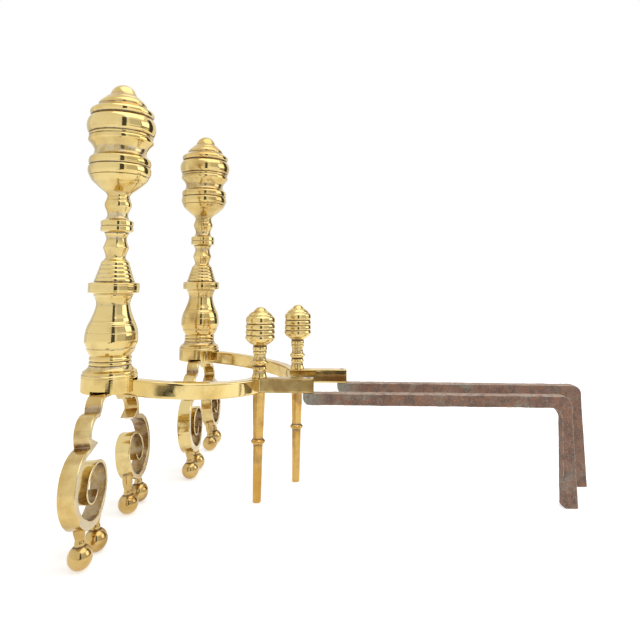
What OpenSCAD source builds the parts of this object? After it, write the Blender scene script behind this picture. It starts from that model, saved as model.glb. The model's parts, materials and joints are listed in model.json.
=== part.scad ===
// A pair of brass andirons with iron billet bars, one mirrored to the other.
// Millimetres. +Z is up, +Y points to the back of the hearth, the floor is z = 0.
// Every piece is drawn on its own andiron's column axis, with the inner side towards -X.

/* [Pair] */
// Distance between the two column axes
pair_spacing = 220; // [200:5:400]
// How much further back the left andiron stands
pair_stagger = 40; // [0:5:80]

/* [Column] */
// Radius of the plinth drum
plinth_r = 27.5; // [26:0.5:34]
// Height of the plinth
plinth_h = 35.2; // [32:0.2:50]
// How far the drum reaches down over the legs' tongues
plinth_skirt = 1.9; // [1:0.1:6]
// Radius of the hollow under the plinth
plinth_hollow_r = 12.5; // [11:0.5:18]
// Largest radius of the baluster
baluster_r = 26.2; // [25:0.2:34]
// Height of the baluster
baluster_h = 61.5; // [50:0.5:90]
// Radius of the band on the collar
collar_r = 25.4; // [24:0.2:32]
// Height of the collar with its ribbed cone
collar_h = 38; // [30:1:50]
// Radius of the double ring on the shaft
shaft_r = 16.4; // [15:0.2:24]
// Height of the shaft
shaft_h = 65; // [50:1:100]
// Largest radius of the finial
finial_r = 35.4; // [32:0.2:44]
// Height of the finial
finial_h = 121.5; // [110:0.5:160]
// Least wall of the hollow castings
wall = 4; // [3:0.25:5]

/* [Tie rod] */
// Diameter of the rod through the column
rod_d = 8; // [6:0.5:9]
// How far the rod reaches into the finial
rod_grip = 16; // [12:1:18]
// Diameter of the head that is riveted over at the rod's lower end
head_d = 14; // [11:0.5:15]
// Thickness of that head
head_t = 1.2; // [0.8:0.1:3]
// Radial clearance of a rod or stud in its hole
running_gap = 0.05; // [0.02:0.01:0.1]

/* [Legs] */
// Width of the leg strap
strap_w = 16; // [12:0.5:18]
// Thickness of the leg strap
strap_t = 5; // [4:0.25:6]
// Radius of the lobe under the plinth
lobe_one_r = 16.7; // [15:0.1:20]
// Radius of the second lobe
lobe_two_r = 19.5; // [18:0.1:22]
// Radius of the large scroll
scroll_r = 34; // [33:0.5:40]
// Radius of the curl at the end of the strap
curl_r = 12; // [9:0.5:13]
// Backward lean of the legs in degrees
leg_rake = 5; // [0:0.5:8]
// Diameter of a ball foot
ball_d = 21; // [18:0.5:26]
// Height of the neck between a ball and the large scroll
neck_h = 8; // [6:0.5:12]
// Diameter of a foot's tenon
tenon_d = 5; // [3:0.5:6]

/* [Shank] */
// Width of the brass shank
shank_w = 13.5; // [12.5:0.5:16]
// Height of the brass shank
shank_h = 16.5; // [14:0.5:20]
// Thickness of the eye on the tie rod
eye_h = 11.3; // [9:0.1:13]
// Distance from the column to the straight run, to the inner side
shank_offset = 77; // [60:1:90]
// Radius of the shank's bend
bend_r = 117; // [110:1:160]
// Distance from the column to the start of the bend
bend_start = 30; // [28:1:60]
// Drop of the shank from the plinth to the straight run
shank_drop = 12; // [4:0.5:16]
// Length of the straight run past the log stop
run_tail = 63; // [50:1:100]

/* [Log stop and mid leg] */
// Largest radius of the log stop
stop_r = 17.2; // [14:0.2:19]
// Height of the log stop
stop_h = 80; // [60:1:110]
// Diameter of the stud that holds the log stop
stud_d = 6; // [4:0.5:8]
// How far the stud reaches into the log stop
stud_grip = 14; // [8:1:20]
// Radius of the mid leg at its top
mid_leg_r = 7.2; // [6:0.2:8]
// Radius of the mid leg at the floor
mid_leg_toe_r = 4.7; // [4:0.1:6]
// Radius of the ring on the mid leg
mid_ring_r = 8.1; // [7.8:0.1:10]
// Height of the ring's middle above the floor
mid_ring_z = 66; // [45:1:80]

/* [Billet bar] */
// Width of the iron bar
bar_w = 13.5; // [10:0.5:16]
// Height of the iron bar
bar_h = 14; // [10:0.5:18]
// Length of the bar from the lap to its back face
bar_len = 305; // [200:5:400]
// Length of the lap under the shank
lap_len = 12; // [10:1:20]
// Depth of the seat that is filed in the bar for the lap
lap_step = 0.6; // [0.4:0.1:2]
// Thickness of the rear leg at its top
rear_t = 12.5; // [10:0.5:16]
// Thickness of the rear leg at the floor
rear_toe_t = 17; // [16:0.5:24]
// Radius outside the rear bend
rear_bend_r = 11; // [9:1:26]
// Diameter of the rivet through the lap
rivet_d = 5; // [4:0.5:6]

/* [Hidden] */
$fn = 64;
arc_step = 7.5;          // degrees between the points of an arc
seat_gap = 0.1;          // between pieces that are drawn together
cut_over = 1;            // how far a cut runs past the face that it opens

rod_r = rod_d / 2;
rod_hole_r = rod_r + running_gap;
stud_r = stud_d / 2;
stud_hole_r = stud_r + running_gap;
rivet_hole_r = rivet_d / 2 + running_gap;
tenon_r = tenon_d / 2;

// heights of the leg, from the floor up
scroll_rise = ball_d + neck_h;
scroll_z = scroll_rise + scroll_r;
lobe_two_step = 7;
lobe_one_step = 17;
lobe_two_z = scroll_z + scroll_r + lobe_two_step;
lobe_one_z = lobe_two_z + lobe_one_step;
leg_top = lobe_one_z + lobe_one_r;
tongue_z = leg_top - strap_t;
rake_z = leg_top - strap_t / 2;

// distances of the leg from the column axis
lap_r = strap_w / 2 + 1;
strap_start = 14;
lobe_one_x = 24;
lobe_two_x = 45;
scroll_x = 62.5;
outer_foot_x = scroll_x + 11;
inner_foot_x = scroll_x - 21.5;

// heights of the column, from the tongues up
notch_room = 0.6;        // above the straps, where they enter the plinth
shank_top = leg_top + eye_h;
plinth_z = leg_top - plinth_skirt;
baluster_z = plinth_z + plinth_h;
collar_z = baluster_z + baluster_h;
shaft_z = collar_z + collar_h;
finial_z = shaft_z + shaft_h;

// shank, log stop and bar
bend_angle = acos(1 - shank_offset / bend_r);
stop_y = bend_start + bend_r * sin(bend_angle) + 4;
stop_foot_r = 8.6;
drop_end = stop_y - stop_foot_r - cut_over;
relief_y = strap_w / 2 + 1.5;
slope_y = relief_y + 2;
eye_w = shank_w - 1;
eye_lap = 4;
pitch = atan(shank_drop / (drop_end - slope_y));
run_top = shank_top - shank_drop;
run_z = run_top - shank_h;
run_start = bend_start + (bend_r - shank_w / 2) * sin(bend_angle);
run_end = stop_y + run_tail;
bar_start = run_end - lap_len;
bar_end = bar_start + bar_len;
bar_top = run_z + lap_step;
bar_z = bar_top - bar_h;
rivet_y = run_end - lap_len / 2;

// the pair's middle in Y lies between the front of the right finial and the back of the left bar
toe_out = 2;
column_y = (finial_r - pair_stagger - bar_end - toe_out) / 2;

// Turning stations: [radius, height, bow], bow is how far the stretch below stands out.
// Each list is drawn at the height and radius that the last entries of its comment give.

// finial, 121.5 high, radius 35.4
finial_stations = [
    [11.2, 0, 0], [11.4, 0.8, 0], [13.2, 3.6, -0.1], [18.4, 7.6, 0], [24.6, 13.2, 0.1], [29.2, 18.8, 0.5],
    [29.9, 20.2, 0.1], [29.4, 20.7, 0], [30.4, 21.4, 0.1], [32, 27.4, 0.5], [31.3, 30.8, 0.2],
    [30.4, 31.4, 0], [30.5, 32, 0], [31.3, 34, 0.2], [31.5, 37.2, 0.3], [30.6, 40, 0.2], [29.4, 40.8, 0.1],
    [27, 44, -0.3], [26.4, 47.4, -0.2], [27.4, 51, -0.3], [31.6, 56.8, -0.3], [32.8, 57.8, 0],
    [33.1, 60.2, 0.2], [32.5, 62.2, 0.1], [31.9, 62.8, 0], [32.6, 63.4, 0.1], [32.7, 64.6, 0.1],
    [32.2, 65.4, 0.1], [32.2, 66, 0], [34.6, 70, 0.5], [35.4, 74.2, 0.3], [34.6, 79.6, 0.4],
    [31.8, 84, 0.3], [31, 84.8, -0.1], [31.6, 86, -0.1], [32.9, 88.6, 0.2], [32.2, 91.2, 0.3],
    [30.6, 92.8, 0.2], [25.8, 96.2, -0.2], [25, 97.2, -0.1], [24.4, 100.2, 0.3], [20.4, 104.2, 0.2],
    [19.4, 105.2, -0.1], [15, 108.6, 0.3], [14, 109.5, -0.1], [12.2, 114, 0.1], [8.6, 118.6, 0.4],
    [0, 121.5, 0.8]
];
// shaft, 65 high, radius 16.4
shaft_stations = [
    [10, 0, 0], [9.9, 1, 0], [13.1, 10.5, -0.3], [10.1, 19.5, -0.2], [11.8, 24.4, -0.4], [11.8, 26, 0],
    [15.9, 27.6, 0], [16.4, 28.6, 0.1], [16.4, 32.2, 0], [15.6, 33, 0], [16.4, 33.8, 0], [16.4, 37.4, 0],
    [15.9, 38.4, 0.1], [11.8, 40.6, 0], [10.2, 45.5, -0.3], [12.6, 52, -0.2], [13.6, 56, 0.3],
    [12.2, 60.5, 0.3], [11.2, 64, 0.1], [11.2, 65, 0]
];
// collar, 38 high, radius 25.4
collar_stations = [
    [19.6, 0, 0], [20, 0.8, 0], [24.4, 1.8, 0], [25.4, 2.8, 0.2], [25.4, 3.8, 0], [25, 4.1, 0], [25.4, 4.4, 0],
    [25.4, 9.2, 0], [25, 9.5, 0], [25.4, 9.8, 0], [25.4, 11, 0], [24.4, 12, 0.2], [19.8, 13.2, 0]
];
// ribbed cone above the band, from the band's top to the collar's top
rib_count = 5;
cone_foot = [19.8, 13.2];
cone_head = [13, 34.5];
cone_neck = [10, 38];
rib_bow = 0.55;
neck_bow = -0.3;
// baluster, 61.5 high, radius 26.2
baluster_stations = [
    [20.2, 0, 0], [24.1, 7.2, 0.5], [23.8, 7.5, 0], [24.9, 9.6, 0], [26.2, 18.5, 0.6], [25.8, 23.2, 0.1],
    [25.4, 23.5, 0], [25.5, 25, 0], [23.8, 30.8, 0.1], [23.4, 31.1, 0], [23.4, 32, 0], [22.2, 34.2, -0.1],
    [21.8, 34.5, 0], [20.6, 38, 0], [16.6, 51.5, -0.5], [17.6, 56.5, -0.2], [19.6, 60.5, -0.2], [19.6, 61.5, 0]
];
// plinth, 35.2 high, radius 27.5
plinth_stations = [
    [27, 0, 0], [27.5, 0.6, 0], [27.5, 14.6, 0], [27.1, 15, 0], [27.5, 15.4, 0], [27.4, 16.8, 0.1],
    [26.4, 17.8, 0], [26, 20.2, 0.2], [20.8, 25.2, -0.8], [20.3, 26.2, 0], [20.4, 29.6, 0.6], [20, 30.2, 0],
    [20.2, 34.2, 0.9], [20, 35.2, 0]
];
// log stop, 80 high, radius 17.2
stop_stations = [
    [8.6, 0, 0], [8.6, 1.4, 0], [7.4, 7.6, -0.4], [8.3, 9.8, 0.3], [7.3, 12.2, 0.2], [7.4, 13.6, 0],
    [9.8, 16.6, 0.4], [7.6, 19.6, 0.5], [6.9, 24, -0.2], [7.2, 26.4, 0], [8.2, 28, 0.3], [7.4, 30, 0.3],
    [8.4, 32.4, 0.4], [7.6, 35, 0.3], [9.2, 37, -0.2], [13, 39.6, 0.2], [16.4, 43, 0.4], [17.2, 45.4, 0.3],
    [16, 48.2, 0.3], [17, 51, 0.4], [15.8, 54.4, 0.4], [16.9, 57.6, 0.5], [15.6, 61, 0.5], [16.8, 65, 0.6],
    [14.4, 70, 0.9], [13.6, 70.6, -0.1], [12.6, 72.2, 0.2], [9.6, 74.6, 0.2], [6.4, 77, -0.2], [0, 80, 1]
];
// neck of a ball foot above the ball, to be met by the strap
neck_stations = [[4.6, 0, 0], [4.3, 1.2, 0.2], [4.5, 2.2, 0.2], [3.7, 5, -0.2], [5.2, 11, -0.5]];

// ---- outlines ----

function reversed(list) = [for (i = [len(list) - 1:-1:0]) list[i]];

// points of an arc about c, from angle a to angle b
function arc(c, r, a, b) =
    let (n = max(1, ceil(abs(b - a) / arc_step)))
    [for (i = [0:n]) c + r * [cos(a + (b - a) * i / n), sin(a + (b - a) * i / n)]];

// the same arc with a radius that changes evenly from r to s
function spiral(c, r, s, a, b) =
    let (n = max(1, ceil(abs(b - a) / arc_step)))
    [for (i = [0:n]) c + (r + (s - r) * i / n) * [cos(a + (b - a) * i / n), sin(a + (b - a) * i / n)]];

// points after p up to q, on a parabola that stands s out of the chord
function bowed(p, q, s) =
    let (n = s == 0 ? 1 : 4, d = q - p, out = [d[1], -d[0]] / norm(d))
    [for (i = [1:n]) let (t = i / n) p + d * t + out * 4 * s * t * (1 - t)];

// outline of a turned piece from its stations, stretched to radius r and height h
function turned(stations, drawn_r, r, h) =
    let (
        fr = r / drawn_r,
        fz = h / stations[len(stations) - 1][1],
        p = [for (s = stations) [s[0] * fr, s[1] * fz]]
    )
    [p[0], for (i = [1:len(p) - 1]) each bowed(p[i - 1], p[i], stations[i][2] * fr)];

// solid of revolution from an outline that runs upwards
module lathe(outline) {
    foot = [0, outline[0][1]];
    head = [0, outline[len(outline) - 1][1]];
    closed = head[1] == foot[1] || outline[len(outline) - 1][0] == 0 ? [] : [head];
    rotate_extrude() polygon(concat([foot], outline, closed));
}

// ---- places ----

module right() {
    translate([pair_spacing / 2, column_y, 0]) children();
}

module left() {
    mirror([1, 0, 0]) translate([pair_spacing / 2, column_y + pair_stagger, 0]) children();
}

module on_stop_axis() {
    translate([-shank_offset, stop_y, 0]) children();
}

module on_rake() {
    translate([0, 0, rake_z]) rotate([leg_rake, 0, 0]) translate([0, 0, -rake_z]) children();
}

module rod_hole(z, h) {
    translate([0, 0, z - cut_over]) cylinder(r = rod_hole_r, h = h + 2 * cut_over);
}

// ---- column ----

module finial() {
    waist_r = 26.4 / 35.4 * finial_r;
    floor_h = rod_grip + wall;
    color("goldenrod") difference() {
        translate([0, 0, finial_z]) lathe(turned(finial_stations, 35.4, finial_r, finial_h));
        rod_hole(finial_z, floor_h);
        translate([0, 0, finial_z + floor_h]) cylinder(r = waist_r - wall, h = finial_h * 0.76 - floor_h);
    }
}

module shaft() {
    color("goldenrod") difference() {
        translate([0, 0, shaft_z]) lathe(turned(shaft_stations, 16.4, shaft_r, shaft_h));
        rod_hole(shaft_z, shaft_h);
    }
}

// bore of the baluster, which the collar's spigot enters
function baluster_bore() = 16.6 / 26.2 * baluster_r - wall;

module collar() {
    fr = collar_r / 25.4;
    fz = collar_h / 38;
    function cone(i) = cone_foot + (cone_head - cone_foot) * i / rib_count;
    function sized(p) = [p[0] * fr, p[1] * fz];
    band = turned(collar_stations, 25.4, collar_r, cone_foot[1] * fz);
    ribs = [for (i = [1:rib_count]) each bowed(sized(cone(i - 1)), sized(cone(i)), rib_bow * fr)];
    neck = bowed(sized(cone_head), sized(cone_neck), neck_bow * fr);
    spigot_h = wall;
    color("goldenrod") difference() {
        union() {
            translate([0, 0, collar_z]) lathe(concat(band, ribs, neck));
            translate([0, 0, collar_z - spigot_h]) cylinder(r = baluster_bore() - running_gap, h = spigot_h);
        }
        rod_hole(collar_z - spigot_h, collar_h + spigot_h);
    }
}

module baluster() {
    web_h = wall + 2;
    color("goldenrod") difference() {
        translate([0, 0, baluster_z]) lathe(turned(baluster_stations, 26.2, baluster_r, baluster_h));
        rod_hole(baluster_z, web_h);
        translate([0, 0, baluster_z + web_h]) cylinder(r = baluster_bore(), h = baluster_h - web_h + cut_over);
    }
}

module plinth() {
    cavity_h = shank_top - plinth_z;
    strap_top = leg_top + strap_w / 2 * sin(leg_rake) + notch_room;
    color("goldenrod") difference() {
        translate([0, 0, plinth_z]) lathe(turned(plinth_stations, 27.5, plinth_r, plinth_h));
        rod_hole(shank_top, plinth_z + plinth_h - shank_top);
        translate([0, 0, plinth_z - cut_over]) cylinder(r = plinth_hollow_r, h = cavity_h + cut_over);
        translate([-plinth_r - cut_over, -strap_w / 2 - 0.5, plinth_z - cut_over])
            cube([2 * (plinth_r + cut_over), strap_w + 1, strap_top - plinth_z + cut_over]);
        translate([-shank_w / 2 - 3 * seat_gap, 0, plinth_z - cut_over])
            cube([shank_w + 6 * seat_gap, plinth_r + cut_over, cavity_h + cut_over]);
    }
}

module tie_rod() {
    head_slope = 1.5;
    color("dimgray") {
        translate([0, 0, tongue_z]) cylinder(r = rod_r, h = finial_z + rod_grip - tongue_z);
        translate([0, 0, tongue_z - head_t]) cylinder(d1 = head_d - 2 * head_slope, d2 = head_d, h = head_t);
    }
}

// ---- legs ----

scroll_c = [scroll_x, scroll_z];
inner_r = 18.5;
bridge_r = 28;
inner_c = scroll_c - [scroll_r - inner_r, 0];
bridge_c = inner_c - [0, bridge_r - inner_r];
curl_angle = 25;
curl_c = bridge_c + (bridge_r - curl_r) * [cos(curl_angle), sin(curl_angle)];
heel_t = strap_t + 3.5;
rise_t = 3;
tip_t = 1.5;
crease_angle = 15;
spur_tip = [lobe_two_x + 1.6, lobe_two_z - 6.7];

// Each row: centre, radius, first angle, last angle, first thickness, last thickness
function strap_arcs() = [
    [[lobe_one_x, lobe_one_z], lobe_one_r, 90, crease_angle, strap_t, strap_t],
    [[lobe_two_x, lobe_two_z], lobe_two_r, 105, -18, strap_t, strap_t - 0.5],
    [scroll_c, scroll_r, 88, 0, strap_t, strap_t + 1],
    [scroll_c, scroll_r, 0, -60, strap_t + 1, heel_t],
    [scroll_c, scroll_r, -60, -110, heel_t, strap_t],
    [scroll_c, scroll_r, -110, -180, strap_t, rise_t],
    [inner_c, inner_r, 180, 90, rise_t, rise_t],
    [bridge_c, bridge_r, 90, curl_angle, rise_t, rise_t - 0.5],
    [curl_c, curl_r, curl_angle, -165, rise_t - 0.5, tip_t]
];

// the inner edge stops short on the second lobe, where the spur leaves it
function inner_edge(row, last) = spiral(row[0], row[1] - row[4], row[1] - row[5], row[2], last);

function strap_outline() =
    let (
        rows = strap_arcs(),
        outer = [for (row = rows) each arc(row[0], row[1], row[2], row[3])],
        inner = [for (i = [0:len(rows) - 1]) each i == 1
            ? concat(inner_edge(rows[i], 0), [spur_tip])
            : inner_edge(rows[i], rows[i][3])]
    )
    concat([[strap_start, leg_top]], outer, reversed(inner), [[strap_start, tongue_z]]);

// foot of a neck: height of the ball's centre in the raked plane
ball_z = rake_z - (rake_z - ball_d / 2) / cos(leg_rake);
neck_z = ball_z + sqrt(pow(ball_d / 2, 2) - pow(neck_stations[0][0], 2)) - 0.2;

// height of the large scroll's outer edge at distance x
function scroll_edge(x) = scroll_z - sqrt(pow(scroll_r, 2) - pow(x - scroll_x, 2));

// depth of a tenon, less where the strap is thin
function tenon_depth(x) = x > scroll_x ? 5.5 : 3.2;

module strap() {
    rotate([90, 0, 0]) linear_extrude(strap_w, center = true) polygon(strap_outline());
}

module foot_hole(x) {
    translate([x, 0, neck_z]) cylinder(r = tenon_r + running_gap, h = scroll_edge(x) + tenon_depth(x) - neck_z);
}

// the strap with the holes for its two feet
module drilled_strap() {
    on_rake() difference() {
        strap();
        foot_hole(outer_foot_x);
        foot_hole(inner_foot_x);
    }
}

// a leg that points to +X, with a half-lapped tongue round the rod
module leg(tongue_from) {
    half_t = strap_t / 2 - seat_gap / 2;
    color("goldenrod") difference() {
        union() {
            drilled_strap();
            translate([-lap_r, -strap_w / 2, tongue_from]) cube([lap_r + strap_start, strap_w, half_t]);
            translate([lap_r + seat_gap, -strap_w / 2, tongue_z]) cube([lobe_one_x - lap_r - 4, strap_w, strap_t]);
        }
        rod_hole(tongue_z, strap_t);
    }
}

module leg_out() {
    leg(tongue_z);
}

module leg_in() {
    mirror([1, 0, 0]) leg(leg_top - strap_t / 2 + seat_gap / 2);
}

// a ball foot, its neck cut to the round of the large scroll, with a tenon
module ball_foot(x) {
    neck_top = scroll_edge(x) + tenon_r;
    neck = turned(neck_stations, 1, 1, neck_top - neck_z);
    color("goldenrod") on_rake() {
        difference() {
            translate([x, 0, 0]) union() {
                translate([0, 0, ball_z]) sphere(d = ball_d);
                translate([0, 0, neck_z]) lathe(neck);
            }
            translate([scroll_x, 0, scroll_z]) rotate([90, 0, 0]) cylinder(r = scroll_r, h = 2 * strap_w, center = true);
        }
        translate([x, 0, neck_z]) cylinder(r = tenon_r, h = scroll_edge(x) + tenon_depth(x) - neck_z - seat_gap);
    }
}

module ball_out_far() {
    ball_foot(outer_foot_x);
}

module ball_out_near() {
    ball_foot(inner_foot_x);
}

module ball_in_far() {
    mirror([1, 0, 0]) ball_foot(outer_foot_x);
}

module ball_in_near() {
    mirror([1, 0, 0]) ball_foot(inner_foot_x);
}

// ---- shank, log stop, mid leg ----

// plan of the sloping stretch, from the eye to the corner
function slope_plan() =
    let (c = [-bend_r, bend_start], half = shank_w / 2)
    concat([[half, slope_y]], arc(c, bend_r + half, 0, bend_angle),
        reversed(arc(c, bend_r - half, 0, bend_angle)), [[-half, slope_y]]);

// plan of the eye, round in front
function eye_plan() =
    let (half = eye_w / 2)
    concat(arc([0, 0], half, 180, 360), [[half, slope_y + eye_lap], [-half, slope_y + eye_lap]]);

module slope() {
    difference() {
        translate([0, slope_y, shank_top - seat_gap]) rotate([-pitch, 0, 0])
            translate([0, -slope_y, -shank_h]) linear_extrude(shank_h) polygon(slope_plan());
        translate([-shank_offset - bend_r / 2, drop_end, run_z + seat_gap - shank_h]) cube([bend_r, bend_r, shank_h]);
    }
}

module shank() {
    color("goldenrod") difference() {
        union() {
            slope();
            translate([0, 0, leg_top]) linear_extrude(eye_h) polygon(eye_plan());
            translate([-shank_offset - shank_w / 2, run_start, run_z]) cube([shank_w, run_end - run_start, shank_h]);
        }
        rod_hole(leg_top, eye_h);
        on_stop_axis() translate([0, 0, run_z - cut_over]) cylinder(r = stud_hole_r, h = shank_h + 2 * cut_over);
        translate([-shank_offset, rivet_y, run_z - cut_over])
            cylinder(r = rivet_hole_r, h = shank_h + 2 * cut_over);
    }
}

module log_stop() {
    color("goldenrod") on_stop_axis() difference() {
        translate([0, 0, run_top]) lathe(turned(stop_stations, 17.2, stop_r, stop_h));
        translate([0, 0, run_top - cut_over]) cylinder(r = stud_hole_r, h = stud_grip + cut_over + 0.5);
    }
}

module mid_leg() {
    waist = 1.4;
    ring_half = 3;
    outline = concat(
        [[mid_leg_toe_r - 0.4, 0], [mid_leg_toe_r, 0.6]],
        [[mid_leg_toe_r + 0.8, mid_ring_z - ring_half - 2]],
        bowed([mid_leg_toe_r + 1, mid_ring_z - ring_half], [mid_leg_toe_r + 1, mid_ring_z + ring_half],
            mid_ring_r - mid_leg_toe_r - 1),
        [[mid_leg_r - waist, mid_ring_z + ring_half + 2]],
        [[mid_leg_r, run_z - 1], [mid_leg_r, run_z]]
    );
    color("goldenrod") on_stop_axis() {
        lathe(outline);
        translate([0, 0, run_z]) cylinder(r = stud_r, h = shank_h + stud_grip);
    }
}

// ---- bar ----

// side view of the bar in Y and Z
function bar_outline() =
    let (
        nose_r = min(8, bar_h - 3),
        inner_bend_r = 12,
        toe_r = 3,
        back = bar_end,
        front = bar_end - rear_t,
        toe_back = bar_end + toe_out,
        toe_front = bar_end + toe_out - rear_toe_t
    )
    concat(
        [[bar_start, run_z], [run_end + seat_gap, run_z], [run_end + seat_gap, bar_top]],
        arc([back - rear_bend_r, bar_top - rear_bend_r], rear_bend_r, 90, 0),
        arc([toe_back - toe_r / 2, toe_r / 2], toe_r / 2, 0, -90),
        arc([toe_front + toe_r, toe_r], toe_r, -90, -180),
        arc([front - inner_bend_r, bar_z - inner_bend_r], inner_bend_r, 0, 90),
        arc([bar_start + nose_r, bar_z + nose_r], nose_r, -90, -180)
    );

module bar() {
    color("saddlebrown") translate([-shank_offset, 0, 0]) difference() {
        rotate([90, 0, 90]) linear_extrude(bar_w, center = true) polygon(bar_outline());
        translate([0, rivet_y, bar_z - cut_over]) cylinder(r = rivet_hole_r, h = bar_h + 2 * cut_over);
    }
}

module rivet() {
    color("saddlebrown") translate([-shank_offset, rivet_y, bar_z]) cylinder(d = rivet_d, h = run_top - bar_z);
}

right() finial();  // right_finial
right() shaft();  // right_shaft
right() collar();  // right_collar
right() baluster();  // right_baluster
right() plinth();  // right_plinth
right() tie_rod();  // right_tie_rod
right() leg_out();  // right_leg_out
right() leg_in();  // right_leg_in
right() ball_out_far();  // right_ball_out_far
right() ball_out_near();  // right_ball_out_near
right() ball_in_far();  // right_ball_in_far
right() ball_in_near();  // right_ball_in_near
right() shank();  // right_shank
right() log_stop();  // right_log_stop
right() mid_leg();  // right_mid_leg
right() bar();  // right_bar
right() rivet();  // right_rivet
left() finial();  // left_finial
left() shaft();  // left_shaft
left() collar();  // left_collar
left() baluster();  // left_baluster
left() plinth();  // left_plinth
left() tie_rod();  // left_tie_rod
left() leg_out();  // left_leg_out
left() leg_in();  // left_leg_in
left() ball_out_far();  // left_ball_out_far
left() ball_out_near();  // left_ball_out_near
left() ball_in_far();  // left_ball_in_far
left() ball_in_near();  // left_ball_in_near
left() shank();  // left_shank
left() log_stop();  // left_log_stop
left() mid_leg();  // left_mid_leg
left() bar();  // left_bar
left() rivet();  // left_rivet
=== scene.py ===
import bmesh
import bpy
import json
import math
import numpy as np
from mathutils import Matrix, Vector


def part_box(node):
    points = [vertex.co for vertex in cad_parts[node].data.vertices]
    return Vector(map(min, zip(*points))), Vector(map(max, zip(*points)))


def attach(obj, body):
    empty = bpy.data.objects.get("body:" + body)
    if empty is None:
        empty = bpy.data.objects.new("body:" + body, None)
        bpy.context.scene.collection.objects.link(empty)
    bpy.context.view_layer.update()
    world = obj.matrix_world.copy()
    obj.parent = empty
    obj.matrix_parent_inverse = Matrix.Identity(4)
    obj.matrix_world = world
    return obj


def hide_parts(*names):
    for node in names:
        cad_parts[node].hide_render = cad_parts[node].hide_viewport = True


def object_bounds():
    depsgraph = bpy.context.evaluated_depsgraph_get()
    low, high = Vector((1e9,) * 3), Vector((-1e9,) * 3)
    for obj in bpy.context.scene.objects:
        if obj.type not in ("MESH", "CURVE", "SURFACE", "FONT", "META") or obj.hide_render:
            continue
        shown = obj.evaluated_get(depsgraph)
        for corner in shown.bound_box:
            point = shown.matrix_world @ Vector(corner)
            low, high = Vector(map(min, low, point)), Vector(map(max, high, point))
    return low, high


# A mirrored pair of turned brass andirons with rusted iron bars. Shapes are worked out in millimetres on each
# andiron's own column axis, with the inner side towards -X, and go into the meshes in metres.

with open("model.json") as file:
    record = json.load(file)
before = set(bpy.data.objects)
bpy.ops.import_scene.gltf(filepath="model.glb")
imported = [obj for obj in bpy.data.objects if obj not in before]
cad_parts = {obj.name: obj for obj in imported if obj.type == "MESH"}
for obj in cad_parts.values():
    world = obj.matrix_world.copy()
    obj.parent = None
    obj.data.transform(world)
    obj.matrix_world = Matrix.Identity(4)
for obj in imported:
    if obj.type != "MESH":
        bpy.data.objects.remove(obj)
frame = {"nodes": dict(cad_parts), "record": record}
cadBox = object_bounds()
mm = 0.001
handOf = {"right": 1, "left": -1}
bodyOf = {n: b for b, ns in frame["record"]["behaviour"]["bodies"].items() for n in ns}
print("frame loaded:", len(bodyOf), "nodes")


def nodeBox(node):
    lo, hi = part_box(node)
    return np.array(lo) / mm, np.array(hi) / mm


def nodeCentre(node):
    lo, hi = nodeBox(node)
    return (lo + hi)[:2] / 2


def bell(values, width):
    # a running mean with bell-shaped weights, width samples wide, the ends held
    reach = int(4 * width) + 1
    weights = np.exp(-0.5 * (np.arange(-reach, reach + 1) / width) ** 2)
    padded = np.pad(values, reach, mode="reflect", reflect_type="odd")
    return np.convolve(padded, weights / weights.sum(), mode="valid")


def walk(points):
    # distance along a polyline at each of its points
    steps = np.linalg.norm(np.diff(points, axis=0), axis=1)
    return np.concatenate([[0.0], np.cumsum(steps)])


def resample(points, step):
    s = walk(points)
    even = np.linspace(0, s[-1], max(2, int(round(s[-1] / step)) + 1))
    return np.stack([np.interp(even, s, points[:, k]) for k in (0, 1)], 1)


def bellPath(points, width):
    return np.stack([bell(points[:, k], width) for k in (0, 1)], 1)


def spread(points, count):
    # the path through points, with count points on it
    at, was = np.linspace(0, 1, count), np.linspace(0, 1, len(points))
    return np.stack([np.interp(at, was, points[:, k]) for k in (0, 1)], 1)


def withEnds(values):
    # the first and the last row once more, for the closed ends
    return np.concatenate([values[:1], values, values[-1:]])


def smoothstep(x):
    x = np.clip(x, 0, 1)
    return x * x * (3 - 2 * x)


def latticeNoise(points, cell, seed):
    # random values at the corners of cubes of size cell, blended smoothly inside each cube
    tableSize, mixers = 4096, (73856093, 19349663, 83492791)
    table = np.random.default_rng(seed).random(tableSize) * 2 - 1
    p = points / cell
    i = np.floor(p).astype(np.int64)
    f = p - i
    f = f * f * (3 - 2 * f)
    total = 0
    for corner in np.ndindex(2, 2, 2):
        x, y, z = [(i[..., k] + corner[k]) * mixers[k] for k in range(3)]
        u, v, w = [f[..., k] if corner[k] else 1 - f[..., k] for k in range(3)]
        total = total + u * v * w * table[(x ^ y ^ z) % tableSize]
    return total


meshFinish = {"merge": 2e-6, "sliver": 1e-6, "sharpAngle": 38}


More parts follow.
